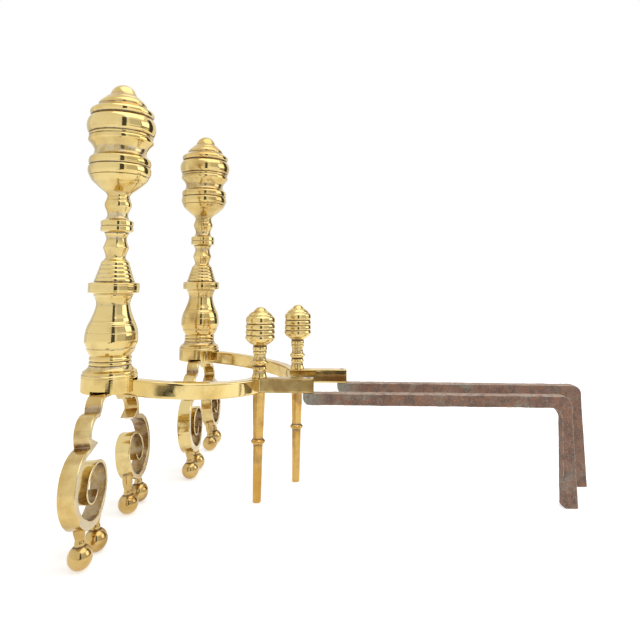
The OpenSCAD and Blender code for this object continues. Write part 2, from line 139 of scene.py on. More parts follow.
def gridPiece(name, node, grid, marks, material):
    # grid is an (n, m, 3) array of points, closed the second way; rows that shrink to a point close its ends
    n, m = grid.shape[:2]
    i, j = np.meshgrid(np.arange(n - 1), np.arange(m), indexing="ij")
    k = (j + 1) % m
    quads = np.stack([i * m + j, i * m + k, (i + 1) * m + k, (i + 1) * m + j], -1).reshape(-1, 4)
    mesh = bpy.data.meshes.new(name)
    mesh.from_pydata(grid.reshape(-1, 3) * mm, [], quads)
    for key, mark in marks.items():
        layer = mesh.attributes.new(key, "FLOAT", "POINT")
        layer.data.foreach_set("value", np.broadcast_to(mark, (n, m)).reshape(-1).astype(np.float32))
    work = bmesh.new()
    work.from_mesh(mesh)
    bmesh.ops.remove_doubles(work, verts=work.verts, dist=meshFinish["merge"])
    bmesh.ops.dissolve_degenerate(work, edges=work.edges, dist=meshFinish["sliver"])
    bmesh.ops.recalc_face_normals(work, faces=work.faces)
    work.to_mesh(mesh)
    work.free()
    mesh.shade_smooth()
    mesh.set_sharp_from_angle(angle=math.radians(meshFinish["sharpAngle"]))
    mesh.materials.append(material)
    piece = bpy.data.objects.new(name, mesh)
    bpy.context.scene.collection.objects.link(piece)
    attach(piece, bodyOf[node])
    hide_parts(node)


# Turned pieces. Stations are [radius, height, bow]: bow is how far the stretch below stands out of its chord.

finialShape = {
    "stations": [
        [11.2, 0, 0], [11.4, 0.8, 0], [13.2, 3.6, -0.1], [18.4, 7.6, 0], [24.6, 13.2, 0.1],
        [29.2, 18.8, 0.5], [29.9, 20.2, 0.1], [29.4, 20.7, 0], [30.4, 21.4, 0.1], [32, 27.4, 0.5],
        [31.3, 30.8, 0.2], [30.4, 31.4, 0], [30.5, 32, 0], [31.3, 34, 0.2], [31.5, 37.2, 0.3],
        [30.6, 40, 0.2], [29.4, 40.8, 0.1], [27, 44, -0.3], [26.4, 47.4, -0.2], [27.4, 51, -0.3],
        [31.6, 56.8, -0.3], [32.8, 57.8, 0], [33.1, 60.2, 0.2], [32.5, 62.2, 0.1], [31.9, 62.8, 0],
        [32.6, 63.4, 0.1], [32.7, 64.6, 0.1], [32.2, 65.4, 0.1], [32.2, 66, 0], [34.6, 70, 0.5],
        [35.4, 74.2, 0.2], [34.6, 79.6, 0.2], [31.8, 84, 0.3], [31, 84.8, -0.1], [31.6, 86, -0.1],
        [32.9, 88.6, 0.2], [32.2, 91.2, 0.3], [30.6, 92.8, 0.2], [25.8, 96.2, -0.2], [25, 97.2, -0.1],
        [24.4, 100.2, 0.3], [20.4, 104.2, 0.2], [19.4, 105.2, -0.1], [15, 108.6, 0.3], [14, 109.5, -0.1],
        [12.2, 114, 0.1], [8.6, 118.6, 0.4], [0, 121.5, 0.8],
    ],
    "softness": 0.22, "rows": 360, "segments": 180,
}
shaftShape = {
    "stations": [
        [10, 0, 0], [9.9, 1, 0], [13.1, 10.5, -0.3], [10.1, 19.5, -0.2], [11.8, 24.4, -0.4], [11.8, 26, 0],
        [15.9, 27.6, 0], [16.4, 28.6, 0.1], [16.4, 32.2, 0], [15.6, 33, 0], [16.4, 33.8, 0],
        [16.4, 37.4, 0], [15.9, 38.4, 0.1], [11.8, 40.6, 0], [10.2, 45.5, -0.3], [12.6, 52, -0.2],
        [13.6, 56, 0.3], [12.2, 60.5, 0.3], [11.2, 64, 0.1], [11.2, 65, 0],
    ],
    "softness": 0.30, "rows": 200, "segments": 128,
}
collarShape = {
    "stations": [
        [19.6, 0, 0], [20, 0.8, 0], [24.4, 1.8, 0], [25.4, 2.8, 0.2], [25.4, 3.8, 0], [25, 4.1, 0],
        [25.4, 4.4, 0], [25.4, 9.2, 0], [25, 9.5, 0], [25.4, 9.8, 0], [25.4, 11, 0], [24.4, 12, 0.2],
        [19.8, 13.2, 0],
    ],
    "ribs": 5, "coneHead": [13, 34.5], "ribBow": 0.55, "neck": [10, 38, -0.3],
    "softness": 0.25, "rows": 240, "segments": 160,
}
balusterShape = {
    "stations": [
        [20.2, 0, 0], [24.1, 7.2, 0.5], [23.8, 7.5, 0], [24.9, 9.6, 0], [26.2, 18.5, 0.6],
        [25.8, 23.2, 0.1], [25.4, 23.5, 0], [25.5, 25, 0], [23.8, 30.8, 0.1], [23.4, 31.1, 0],
        [23.4, 32, 0], [22.2, 34.2, -0.1], [21.8, 34.5, 0], [20.6, 38, 0], [16.6, 51.5, -0.5],
        [17.6, 56.5, -0.2], [19.6, 60.5, -0.2], [19.6, 61.5, 0],
    ],
    "softness": 0.25, "rows": 210, "segments": 160,
}
plinthShape = {
    "stations": [
        [27, 0, 0], [27.5, 0.6, 0], [27.5, 14.6, 0], [27.1, 15, 0], [27.5, 15.4, 0], [27.4, 16.8, 0.1],
        [26.4, 17.8, 0], [26, 20.2, 0.2], [20.8, 25.2, -0.8], [20.3, 26.2, 0], [20.4, 29.6, 0.6],
        [20, 30.2, 0], [20.2, 34.2, 0.9], [20, 35.2, 0],
    ],
    "softness": 0.22, "rows": 190, "cavityRadius": 12.5, "cavityHeight": 13.2, "cavityFrom": 0.4,
    "cavityRows": 40, "roofStep": 0.6, "strapNotch": 3.2, "notchHalf": 8.5, "slotHalf": 7.05,
    "notchLean": 0.15, "leastSwing": 0.95, "notchColumns": 16, "sideColumns": 30, "frontColumns": 64,
    "sideGap": 100,
}
stopShape = {
    "stations": [
        [8.6, 0, 0], [8.6, 1.4, 0], [7.4, 7.6, -0.4], [8.3, 9.8, 0.3], [7.3, 12.2, 0.2], [7.4, 13.6, 0],
        [9.8, 16.6, 0.4], [7.6, 19.6, 0.5], [6.9, 24, -0.2], [7.2, 26.4, 0], [8.2, 28, 0.3], [7.4, 30, 0.3],
        [8.4, 32.4, 0.4], [7.6, 35, 0.3], [9.2, 37, -0.2], [13, 39.6, 0.2], [16.4, 43, 0.4],
        [17.2, 45.4, 0.3], [16, 48.2, 0.3], [17, 51, 0.4], [15.8, 54.4, 0.4], [16.9, 57.6, 0.5],
        [15.6, 61, 0.5], [16.8, 65, 0.6], [14.4, 70, 0.9], [13.6, 70.6, -0.1], [12.6, 72.2, 0.2],
        [9.6, 74.6, 0.2], [6.4, 77, -0.2], [0, 80, 1],
    ],
    "softness": 0.22, "rows": 300, "segments": 144,
}
midLegShape = {
    "stations": [
        [4.3, 0, 0], [4.7, 0.6, 0], [5.5, 61, 0], [5.7, 63, 0], [5.7, 69, 2.4], [5.8, 71, 0],
        [7.2, 119.5, 0], [7.2, 120.5, 0],
    ],
    "softness": 0.35, "rows": 130, "segments": 96,
}
turningGrain = {
    "stretchPoints": 24, "denseStep": 0.08, "hollowSpread": 1.6, "hollowDepth": 0.45, "crestSpread": 0.7,
    "crestHeight": 0.25, "evenRows": 0.35, "sharpestBend": 2.0, "rowSpread": 3,
}


def stretches(stations):
    # each stretch is its chord plus 4 t (1 - t) times the bow along the outward normal, t from 0 to 1
    rows = np.array(stations, float)
    t = np.linspace(0, 1, turningGrain["stretchPoints"])[1:, None]
    out = [rows[:1, :2]]
    for p, q in zip(rows[:-1], rows[1:]):
        chord = q[:2] - p[:2]
        normal = np.array([chord[1], -chord[0]]) / np.linalg.norm(chord)
        out.append(p[:2] + chord * t + normal * 4 * q[2] * t * (1 - t))
    return np.concatenate(out)


def turnedProfile(stations, softness, rows):
    # the outline, blurred a little as polishing does, with more rows where it bends more; its marks are how
    # far it lies under or over its own running mean
    g = turningGrain
    dense = resample(stretches(stations), g["denseStep"])
    soft = bellPath(dense, softness / g["denseStep"])
    soft[0], soft[-1] = dense[0], dense[-1]
    soft[:, 0] = np.maximum(soft[:, 0], 0)
    s = walk(soft)
    heading = np.unwrap(np.arctan2(np.gradient(soft[:, 1]), np.gradient(soft[:, 0])))
    bend = np.abs(np.gradient(heading)) / np.gradient(s)
    weight = np.gradient(s) * (g["evenRows"] + bell(np.minimum(bend, g["sharpestBend"]), g["rowSpread"]))
    share = np.cumsum(weight) - weight[0]
    at = np.interp(np.linspace(0, share[-1], rows), share, s)
    hollow = bell(dense[:, 0], g["hollowSpread"] / g["denseStep"]) - soft[:, 0]
    crest = soft[:, 0] - bell(dense[:, 0], g["crestSpread"] / g["denseStep"])
    hollow, crest = np.clip(hollow / g["hollowDepth"], 0, 1), np.clip(crest / g["crestHeight"], 0, 1)
    radius, height, hollow, crest = [np.interp(at, s, v) for v in (soft[:, 0], soft[:, 1], hollow, crest)]
    return radius, height, {"along": at * mm, "hollow": hollow, "crest": crest, "side": 0 * at}


def turnedPiece(node, shape, material, stations=None, base=None):
    # the outline carried round the axis: x = r cos a, y = r sin a, z = base + height
    centre, low = nodeCentre(node), nodeBox(node)[0][2]
    r, z, marks = turnedProfile(stations or shape["stations"], shape["softness"], shape["rows"])
    z = withEnds(z + (low if base is None else base))
    r = np.concatenate([[0], r, [0]])
    a = np.linspace(0, 2 * math.pi, shape["segments"], endpoint=False)
    grid = np.stack([
        centre[0] + r[:, None] * np.cos(a),
        centre[1] + r[:, None] * np.sin(a),
        np.broadcast_to(z[:, None], (len(z), len(a))),
    ], -1)
    marks = {key: withEnds(mark)[:, None] for key, mark in marks.items()}
    gridPiece(node + "_turned", node, grid, marks, material)


def onColumn(side, x, y, z):
    # from an andiron's own axis, inner side towards -X, to the shared frame
    centre = nodeCentre(side + "_shaft")
    return np.stack(np.broadcast_arrays(centre[0] + handOf[side] * x, centre[1] + y, z), -1)


# Ribbons are matched outer and inner edges with a rounded rectangle between them.
ribbonShape = {"endTaper": 0.6, "cornerShare": 0.42}


def roundedSection(arcCount, acrossCount, sideCount):
    # rows of (edge sign, width sign, cos, sin): quarter circles at the four corners, straight between them
    corners = ((1, 1), (-1, 1), (-1, -1), (1, -1))
    arcs = []
    for k, (edge, width) in enumerate(corners):
        a = np.radians(90 * k + np.linspace(0, 90, arcCount))
        arcs.append(np.stack([np.full(arcCount, edge), np.full(arcCount, width), np.cos(a), np.sin(a)], 1))
    rows = []
    for k in range(4):
        a, b = arcs[k][-1], arcs[(k + 1) % 4][0]
        between = np.linspace(a, b, (sideCount if k % 2 == 0 else acrossCount) + 2)[1:-1]
        rows += [arcs[k], between]
    return np.concatenate(rows)


def ribbon(outer, inner, low, high, corner, section):
    # point = middle of the two edges + across the edges * (edge sign * (half - c) + c cos)
    #         + along the width * (width sign * (half - c) + c sin), c is the corner radius
    span = outer - inner
    thick = np.linalg.norm(span, axis=1)
    across = span / thick[:, None]
    middle = (outer + inner) / 2
    low, high = np.broadcast_to(low, thick.shape), np.broadcast_to(high, thick.shape)
    half, reach = thick / 2, (high - low) / 2
    c = np.minimum(corner, ribbonShape["cornerShare"] * thick)
    taper = np.zeros(len(half))
    taper[[0, -1]] = ribbonShape["endTaper"] * c[[0, -1]]
    edge, width, cosA, sinA = section.T
    a = edge * (half - c - taper)[:, None] + c[:, None] * cosA
    b = width * (reach - c - taper)[:, None] + c[:, None] * sinA
    grid = np.empty(a.shape + (3,))
    grid[..., :2] = middle[:, None] + across[:, None] * a[..., None]
    grid[..., 2] = ((low + high) / 2)[:, None] + b
    normal = np.concatenate([across[:, None] * cosA[None, :, None],
                             np.broadcast_to(sinA[None, :, None], a.shape + (1,))], -1)
    normal /= np.linalg.norm(normal, axis=-1, keepdims=True) + 1e-9
    return grid, normal


def ribbonPiece(name, node, world, marks, material):
    # both ends run in to the middle of their last row
    ends = [np.broadcast_to(world[k].mean(axis=0), world[:1].shape) for k in (0, -1)]
    marks = {key: withEnds(np.broadcast_to(mark, world.shape[:2])) for key, mark in marks.items()}
    gridPiece(name, node, np.concatenate([ends[0], world, ends[1]]), marks, material)


def edgeMark(section):
    # 1 on the rounded corners of a section, 0 on its flats
    return np.clip(2 * np.abs(section[:, 2] * section[:, 3]), 0, 1)


def arcPoints(centre, r, s, a, b, step):
    # an arc about centre from angle a to b whose radius changes evenly from r to s
    n = max(3, int(abs(math.radians(b - a)) * r / step))
    t = np.linspace(0, 1, n)
    angle = np.radians(a + (b - a) * t)
    return np.array(centre) + (r + (s - r) * t)[:, None] * np.stack([np.cos(angle), np.sin(angle)], 1)


def linePoints(a, b, step):
    n = max(2, int(np.linalg.norm(np.subtract(b, a)) / step))
    return np.linspace(a, b, n)


legShape = {
    "width": 16, "thick": 5, "lobeOne": (24, 121, 16.7), "lobeTwo": (45, 104, 19.5), "scroll": (62.5, 63, 34),
    "inner": 18.5, "bridge": 28, "curl": 12, "curlAngle": 25, "heel": 8.5, "rise": 3, "tip": 1.5,
    "lobeOneTurn": (90, 15), "lobeTwoTurn": (105, 0), "spurAngle": -18, "curlEnd": -165,
    "scrollTurns": (88, 0, -60, -110, -180), "swell": 1, "thinning": 0.5,
    "spurTip": (46.6, 97.3), "spurAt": 55, "spurSpread": 60, "spurStations": 60, "hollowFade": 30,
    "rake": 5, "rakeFrom": 10, "rakeTo": 22, "lap": 9, "lapGap": 0.1, "lapPoints": 14, "tonguePoints": 26,
    "lapRise": (0.1, 0.3), "corner": 1.0, "step": 0.55, "softness": 1.1,
    "wave": 0.10, "waveCell": 9, "waveSink": 0.6, "waveSeed": 11, "sideShift": 70, "legShift": 31,
    "creases": [(40.2, 125), (63, 97)], "creaseReach": 4, "creaseSpill": 0.3,
    "scrollShadeShare": 0.8, "spurShare": 0.35,
}
footShape = {
    # the neck's stations are [radius, height]
    "ball": 10.5, "outerStep": 11, "innerStep": -21.5,
    "neck": [[4.6, 0], [4.3, 1.2], [4.5, 2.2], [3.7, 5], [5.2, 11]], "neckStep": 0.2, "neckSink": 0.2,
    "neckHead": 4, "neckOver": 3, "intoStrap": 0.5, "ballTop": 64, "ballPoints": 56, "segments": 72,
    "step": 0.25, "softness": 1.4, "jointLine": 0.7, "strapShadeReach": 3, "underShadeShare": 0.7,
}


def tongueTop():
    # the shank's eye rests on the tongues of the two legs
    return nodeBox("right_shank")[1][2] - shankShape["eyeHeight"]


def legEdges(inwards):
    # outer and inner edge of the strap in X and Z, matched point for point, from the tongue to the curl
    s = legShape
    topZ = tongueTop()
    t, step = s["thick"], s["step"]
    tongueZ = topZ - t
    one, two, big = s["lobeOne"], s["lobeTwo"], s["scroll"]
    inner = np.array([big[0] - big[2] + s["inner"], big[1]])
    bridge = inner - [0, s["bridge"] - s["inner"]]
    tilt = math.radians(s["curlAngle"])
    curl = bridge + (s["bridge"] - s["curl"]) * np.array([math.cos(tilt), math.sin(tilt)])
    halfLap = t / 2 - s["lapGap"] / 2
    lapEnd = s["lap"]
    onLap = np.linspace(-lapEnd, lapEnd, s["lapPoints"])
    tongue = np.linspace(lapEnd + s["lapRise"][1], one[0], s["tonguePoints"])[:-1]
    x = np.concatenate([onLap, [lapEnd + s["lapRise"][0]], tongue])
    lapped = x <= lapEnd
    if inwards:
        top = np.full(len(x), topZ)
        foot = np.where(lapped, topZ - halfLap, tongueZ)
    else:
        top = np.where(lapped, tongueZ + halfLap, topZ)
        foot = np.full(len(x), tongueZ)
    outer, within = [np.stack([x, top], 1)], [np.stack([x, foot], 1)]

    def bothEdges(centre, r, a, b, t0, t1):
        outer.append(arcPoints(centre, r, r, a, b, step))
        within.append(spread(arcPoints(centre, r - t0, r - t1, a, b, step * (r - t0) / r), len(outer[-1])))

    bothEdges(one[:2], one[2], *s["lobeOneTurn"], t, t)
    bothEdges(two[:2], two[2], *s["lobeTwoTurn"], t, t - s["thinning"])
    # the spur leaves the inner edge while the outer edge only turns into the crease
    spurOut = arcPoints(two[:2], two[2], two[2], s["lobeTwoTurn"][1], s["spurAngle"], step)
    lip = np.array(within[-1][-1])
    outer.append(spurOut)
    within.append(np.linspace(lip, s["spurTip"], len(spurOut)))
    turns = s["scrollTurns"]
    creaseTurn = math.radians(turns[0])
    crease = np.array([big[0] + big[2] * math.cos(creaseTurn), big[1] + big[2] * math.sin(creaseTurn)])
    start = crease + (np.array(big[:2]) - crease) * t / big[2]
    back = linePoints(s["spurTip"], start, step)
    outer.append(np.linspace(spurOut[-1], crease, len(back)))
    within.append(back)
    scrollFrom = sum(len(p) for p in outer)
    walls = (t, t + s["swell"], s["heel"], t, s["rise"])
    for a, b, t0, t1 in zip(turns[:-1], turns[1:], walls[:-1], walls[1:]):
        bothEdges(big[:2], big[2], a, b, t0, t1)
    thin = s["rise"] - s["thinning"]
    bothEdges(inner, s["inner"], 180, 90, s["rise"], s["rise"])
    bothEdges(bridge, s["bridge"], 90, s["curlAngle"], s["rise"], thin)
    bothEdges(curl, s["curl"], s["curlAngle"], s["curlEnd"], thin, s["tip"])
    soft = []
    for path in (np.concatenate(outer), np.concatenate(within)):
        soft.append(np.concatenate([path[:len(x)], bellPath(path[len(x):], s["softness"])]))
    return soft[0], soft[1], scrollFrom


def raked(x, y, z, share):
    # leans back about the middle of the strap at the column
    rakeZ = tongueTop() - legShape["thick"] / 2
    a = np.radians(legShape["rake"]) * share
    return x, y * np.cos(a) - (z - rakeZ) * np.sin(a), rakeZ + y * np.sin(a) + (z - rakeZ) * np.cos(a)


def makeLeg(side, inwards, material):
    s = legShape
    outer, inner, scrollFrom = legEdges(inwards)
    grid, normal = ribbon(outer, inner, -s["width"] / 2, s["width"] / 2, s["corner"], strapSection)
    # each leg takes its unevenness from another place in the noise
    place = grid + handOf[side] * s["sideShift"] + inwards * s["legShift"]
    wave = latticeNoise(place, s["waveCell"], s["waveSeed"])
    grid = grid + normal * (s["wave"] * (wave - s["waveSink"]))[..., None]
    x, z, y = grid[..., 0], grid[..., 1], grid[..., 2]
    share = smoothstep((x - s["rakeFrom"]) / (s["rakeTo"] - s["rakeFrom"]))
    x, y, z = raked(x, y, z, share)
    world = onColumn(side, -x if inwards else x, y, z)
    # brown inside the scroll is painted shade; the strap is also browner round the spur and in the two
    # creases
    station = np.arange(len(outer))[:, None]
    shadedInside = np.clip(-strapSection[:, 2], 0, 1) * smoothstep((station - scrollFrom) / s["hollowFade"])
    middleX = (outer[:, None, 0] + inner[:, None, 0]) / 2
    nearSpur = np.abs(station - scrollFrom) < s["spurStations"]
    spur = np.exp(-(middleX - s["spurAt"]) ** 2 / s["spurSpread"]) * nearSpur
    creases = sum(np.exp(-(np.hypot(outer[:, 0] - cx, outer[:, 1] - cz) / s["creaseReach"]) ** 2)
                  for cx, cz in s["creases"])
    creases = creases[:, None] * np.clip(strapSection[:, 2] + s["creaseSpill"], 0, 1)
    marks = {
        "along": walk(outer)[:, None] * mm,
        "hollow": np.clip(s["scrollShadeShare"] * shadedInside + s["spurShare"] * spur + creases, 0, 1),
        "crest": edgeMark(strapSection),
        "side": np.abs(strapSection[:, 3]) ** 2,
    }
    node = side + ("_leg_in" if inwards else "_leg_out")
    ribbonPiece(node + "_strap", node, world, marks, material)


def makeFoot(side, inwards, far, material):
    # ball and neck turned on a raked axis, the neck's top following the round of the scroll it enters
    s, f = legShape, footShape
    big = s["scroll"]
    x0 = big[0] + (f["outerStep"] if far else f["innerStep"])
    rakeZ = tongueTop() - s["thick"] / 2
    ball = f["ball"]
    ballZ = rakeZ - (rakeZ - ball) / math.cos(math.radians(s["rake"]))
    neckZ = ballZ + math.sqrt(ball ** 2 - f["neck"][0][0] ** 2) - f["neckSink"]
    strapZ = lambda x: big[1] - np.sqrt(big[2] ** 2 - (x - big[0]) ** 2)
    a = np.radians(np.linspace(-90, f["ballTop"], f["ballPoints"]))
    sphere = np.stack([ball * np.cos(a), ballZ + ball * np.sin(a)], 1)
    neck = np.array([[r, neckZ + h] for r, h in f["neck"]])
    top = strapZ(x0) + f["neckHead"]
    neckR = neck[-1][0]
    neck = np.concatenate([neck[:-1], [[neckR, min(neck[-1][1], top)], [neckR, top + f["neckOver"]]]])
    path = resample(np.concatenate([sphere[sphere[:, 1] < neckZ], resample(neck, f["neckStep"])]), f["step"])
    path = bellPath(path, f["softness"])
    path[0] = (0, ballZ - ball)
    turn = np.linspace(0, 2 * math.pi, f["segments"], endpoint=False)
    # the last row is the middle of the top
    radius = np.append(path[:, 0], 0)[:, None]
    x, y = x0 + radius * np.cos(turn), radius * np.sin(turn)
    z = np.minimum(np.append(path[:, 1], np.inf)[:, None], strapZ(x) + f["intoStrap"])
    x, y, z = raked(x, y, z, 1.0)
    world = onColumn(side, -x if inwards else x, y, z)
    along = walk(path)
    along = np.append(along, along[-1])[:, None]
    height = np.append(path[:, 1], path[-1, 1])[:, None] - ballZ
    # the joint line is a dark joint; just under the strap the neck is darkened as painted shade
    joint = np.exp(-((height - (neckZ - ballZ)) / f["jointLine"]) ** 2)
    under = smoothstep((height - (top - ballZ) + f["strapShadeReach"]) / f["strapShadeReach"])
    hollow = np.maximum(joint, f["underShadeShare"] * under)
    marks = {"along": along * mm, "hollow": hollow, "crest": 0 * along, "side": 0 * along}
    name = f"{side}_ball_{'in' if inwards else 'out'}_{'far' if far else 'near'}"
    gridPiece(name + "_foot", name, world, marks, material)


shankShape = {
    "width": 13.5, "height": 16.5, "eyeWidth": 12.5, "eyeHeight": 11.3, "bendRadius": 117, "bendStart": 30,
    "offset": 77, "drop": 12, "slopeFrom": 11.5, "corner": 1.5, "step": 0.8, "softness": 1.5,
    "eyeTurn": 88, "eyePoints": 26, "eyeGap": 0.6, "slopeGap": (0.3, 0.1), "slopePoints": 16,
    "leadPoints": 26, "cornerRun": 2, "lastRun": 0.5,
    "wave": 0.05, "waveCell": 15, "waveSink": 0.8, "waveSeeds": (5, 6),
    "sideShift": 50, "underShadeShare": 0.5, "scorchBefore": 7, "scorchReach": 11,
}


def makeShank(side, material):
    # plan edges of the eye, the bend and the run, carried between a top and a bottom that drop steadily
    s = shankShape
    low, high = nodeBox(side + "_shank")
    runZ, topZ = low[2], high[2]
    runTop = runZ + s["height"]
    legTop = topZ - s["eyeHeight"]
    centre = nodeCentre(side + "_shaft")
    runEnd = high[1] - centre[1]
    stopY = nodeCentre(side + "_log_stop")[1] - centre[1]
    half, start, r = s["width"] / 2, s["bendStart"], s["bendRadius"]
    bend = math.degrees(math.acos(1 - s["offset"] / r))
    eye = s["eyeWidth"] / 2
    a = np.radians(np.linspace(s["eyeTurn"], 0, s["eyePoints"]))
    eyeY = -eye * np.sin(a)
    eyeHalf = eye * np.cos(a)
    beforeSlope = np.linspace(s["eyeGap"], s["slopeFrom"] - s["slopeGap"][0], s["slopePoints"])
    onSlope = np.linspace(s["slopeFrom"] + s["slopeGap"][1], start, s["leadPoints"])[:-1]
    y = np.concatenate([eyeY, beforeSlope, onSlope])
    wide = np.concatenate([eyeHalf, np.where(y[len(eyeY):] < s["slopeFrom"], eye, half)])
    rightEdge, leftEdge = [np.stack([wide, y], 1)], [np.stack([-wide, y], 1)]
    pivot = (-r, start)
    # the +X edge stops where it meets the run's flank, the -X edge at the run's front face
    flank = -s["offset"] + half
    rightBend = math.degrees(math.acos((flank + r) / (r + half)))
    n = int(math.radians(bend) * r / s["step"])
    rightEdge.append(arcPoints(pivot, r + half, r + half, 0, rightBend, s["step"])[:n])
    count = len(rightEdge[-1])
    t = np.radians(np.linspace(0, bend, count))
    leftEdge.append(np.array(pivot) + (r - half) * np.stack([np.cos(t), np.sin(t)], 1))
    corner = rightEdge[-1][-1]
    front = leftEdge[-1][-1]
    outside = np.array([-s["offset"] - half, front[1]])
    turnIn = linePoints(front, outside, s["step"])[1:]
    rightEdge.append(np.linspace(corner, corner, len(turnIn)))
    leftEdge.append(turnIn)
    runFrom = corner[1] + s["cornerRun"]
    climb = linePoints(outside, (outside[0], runFrom), s["step"])[1:]
    rightEdge.append(np.linspace(corner, (flank, runFrom), len(climb)))
    leftEdge.append(climb)
    run = linePoints((flank, runFrom), (flank, runEnd - s["lastRun"]), s["step"])[1:]
    run = np.concatenate([run, [[flank, runEnd]]])
    rightEdge.append(run)
    leftEdge.append(run - [s["width"], 0])
    right, left = np.concatenate(rightEdge), np.concatenate(leftEdge)
    middleY = (right[:, 1] + left[:, 1]) / 2
    fall = s["drop"] / (front[1] - s["slopeFrom"])
    slope = topZ - (middleY - s["slopeFrom"]) * fall
    top = np.clip(slope, runTop, topZ)
    foot = np.where(middleY < s["slopeFrom"], legTop, np.maximum(slope - s["height"], runZ))
    lead = len(eyeY) + 2
    soften = lambda v: np.concatenate([v[:lead], bell(v, s["softness"])[lead:-2], v[-2:]])
    right = np.stack([soften(right[:, 0]), soften(right[:, 1])], 1)
    left = np.stack([soften(left[:, 0]), soften(left[:, 1])], 1)
    grid, normal = ribbon(right, left, foot, soften(top), s["corner"], shankSection)
    wave = latticeNoise(grid + handOf[side] * s["sideShift"], s["waveCell"], s["waveSeeds"][0])
    wave = wave + latticeNoise(grid, s["waveCell"] / 3, s["waveSeeds"][1]) / 2
    grid = grid + normal * (s["wave"] * (wave - s["waveSink"]))[..., None]
    marks = {
        "along": walk(right)[:, None] * mm,
        # the underside is darkened through the hollow mark as painted shade
        "hollow": s["underShadeShare"] * np.clip(-shankSection[:, 3], 0, 1),
        "crest": edgeMark(shankSection),
        "side": np.abs(shankSection[:, 2]) ** 2,
        "scorch": smoothstep((middleY - stopY + s["scorchBefore"]) / s["scorchReach"])[:, None],
    }
    world = onColumn(side, grid[..., 0], grid[..., 1], grid[..., 2])
    ribbonPiece(side + "_shank_bar", side + "_shank", world, marks, material)


barShape = {
    "width": 13.5, "height": 14, "step": 0.6, "lap": 12, "rear": 12.5, "rearToe": 17, "outerBend": 11,
    "innerBend": 12, "toeOut": 2, "nose": 8, "toeOuter": 1.5, "toeInner": 3, "lapStep": 0.6,
    "lapRise": (0.1, 0.7), "corner": 1.3, "solePoints": 7, "soleFlat": 4, "sideShift": 90,
    "hammer": 0.28, "hammerCell": 13, "hammerSeed": 21, "scale": 0.16, "scaleCell": 2.6, "scaleSeed": 22,
    "pit": 0.44, "pitCell": 0.95, "pitSeed": 23, "pitShare": 0.35, "mossReach": 34,
}


def makeBar(side, material):
    # side view in Y and Z: top edge and bottom edge matched, forward to back and down the rear leg, and every
    # point then sunk along its normal by hammer marks, scale and pits
    s = barShape
    low, high = nodeBox(side + "_bar")
    centre = nodeCentre(side + "_shaft")
    back = high[1] - centre[1] - s["toeOut"]
    lead = low[1] - centre[1]
    topZ = high[2]
    seat = topZ - s["lapStep"]
    under = topZ - s["height"]
    front = back - s["rear"]
    step = s["step"]
    nose = arcPoints((lead + s["nose"], under + s["nose"]), s["nose"], s["nose"], 180, 270, step)
    outer = [np.stack([nose[:, 0], np.full(len(nose), seat)], 1)]
    inner = [nose]
    lapEnd = lead + s["lap"]
    onLap = np.arange(nose[-1, 0] + step, lapEnd, step)
    free = np.arange(lapEnd + s["lapRise"][1], front - s["innerBend"], step)
    y = np.concatenate([onLap, [lapEnd + s["lapRise"][0]], free])
    outer.append(np.stack([y, np.where(y <= lapEnd, seat, topZ)], 1))
    inner.append(np.stack([y, np.full(len(y), under)], 1))
    quarter = lambda y, z, r: arcPoints((y - r, z - r), r, r, 90, 0, step)
    rise, drop = quarter(back, topZ, s["outerBend"]), quarter(front, under, s["innerBend"])
    above, behind = (front - s["innerBend"], topZ), (back, under - s["innerBend"])
    rise = resample(np.concatenate([[above], rise, [behind]]), step)[1:]
    outer.append(rise)
    inner.append(spread(drop, len(rise)))
    toeBack, toeFront = back + s["toeOut"], back + s["toeOut"] - s["rearToe"]
    legOut = linePoints(outer[-1][-1], (toeBack, s["toeOuter"]), step)[1:]
    outer.append(legOut)
    inner.append(np.linspace(inner[-1][-1], (toeFront, s["toeInner"]), len(legOut) + 1)[1:])
    # the toe's two lower corners are quarter circles
    sole = np.radians(np.linspace(0, 90, s["solePoints"]))[1:]
    for edge, toeY, r, sign in ((outer, toeBack, s["toeOuter"], 1), (inner, toeFront, s["toeInner"], -1)):
        middle = np.array([toeY - sign * r, r])
        edge.append(middle + r * np.stack([sign * np.cos(sole), -np.sin(sole)], 1))
    outer, inner = np.concatenate(outer), np.concatenate(inner)
    half = s["width"] / 2
    grid, normal = ribbon(outer, inner, -half, half, s["corner"], barSection)
    place = grid + s["sideShift"] * handOf[side]
    hammered = latticeNoise(place, s["hammerCell"], s["hammerSeed"])
    scaly = latticeNoise(place, s["scaleCell"], s["scaleSeed"])
    pitted = np.minimum(latticeNoise(place, s["pitCell"], s["pitSeed"]) + s["pitShare"], 0)
    sunk = s["hammer"] * (hammered - 1) + s["scale"] * (scaly - 1) + s["pit"] * pitted
    toeFlat = np.clip(grid[..., 1] / s["soleFlat"], 0, 1)
    grid = grid + normal * (sunk * toeFlat)[..., None]
    shankCentre = (low + high)[0] / 2
    world = np.stack([shankCentre + handOf[side] * grid[..., 2], centre[1] + grid[..., 0], grid[..., 1]], -1)
    marks = {
        "along": walk(outer)[:, None] * mm,
        "hollow": np.clip(-scaly / 2 - pitted, 0, 1),
        "crest": edgeMark(barSection),
        "side": np.abs(barSection[:, 3]) ** 2,
        "frontEnd": 1 - smoothstep(walk(outer)[:, None] / s["mossReach"]),
        # faces that look up, painted paler in the material as settled dust and painted top light
        "upward": np.clip(normal[..., 1], 0, 1),
    }
    ribbonPiece(side + "_billet_bar", side + "_bar", world, marks, material)


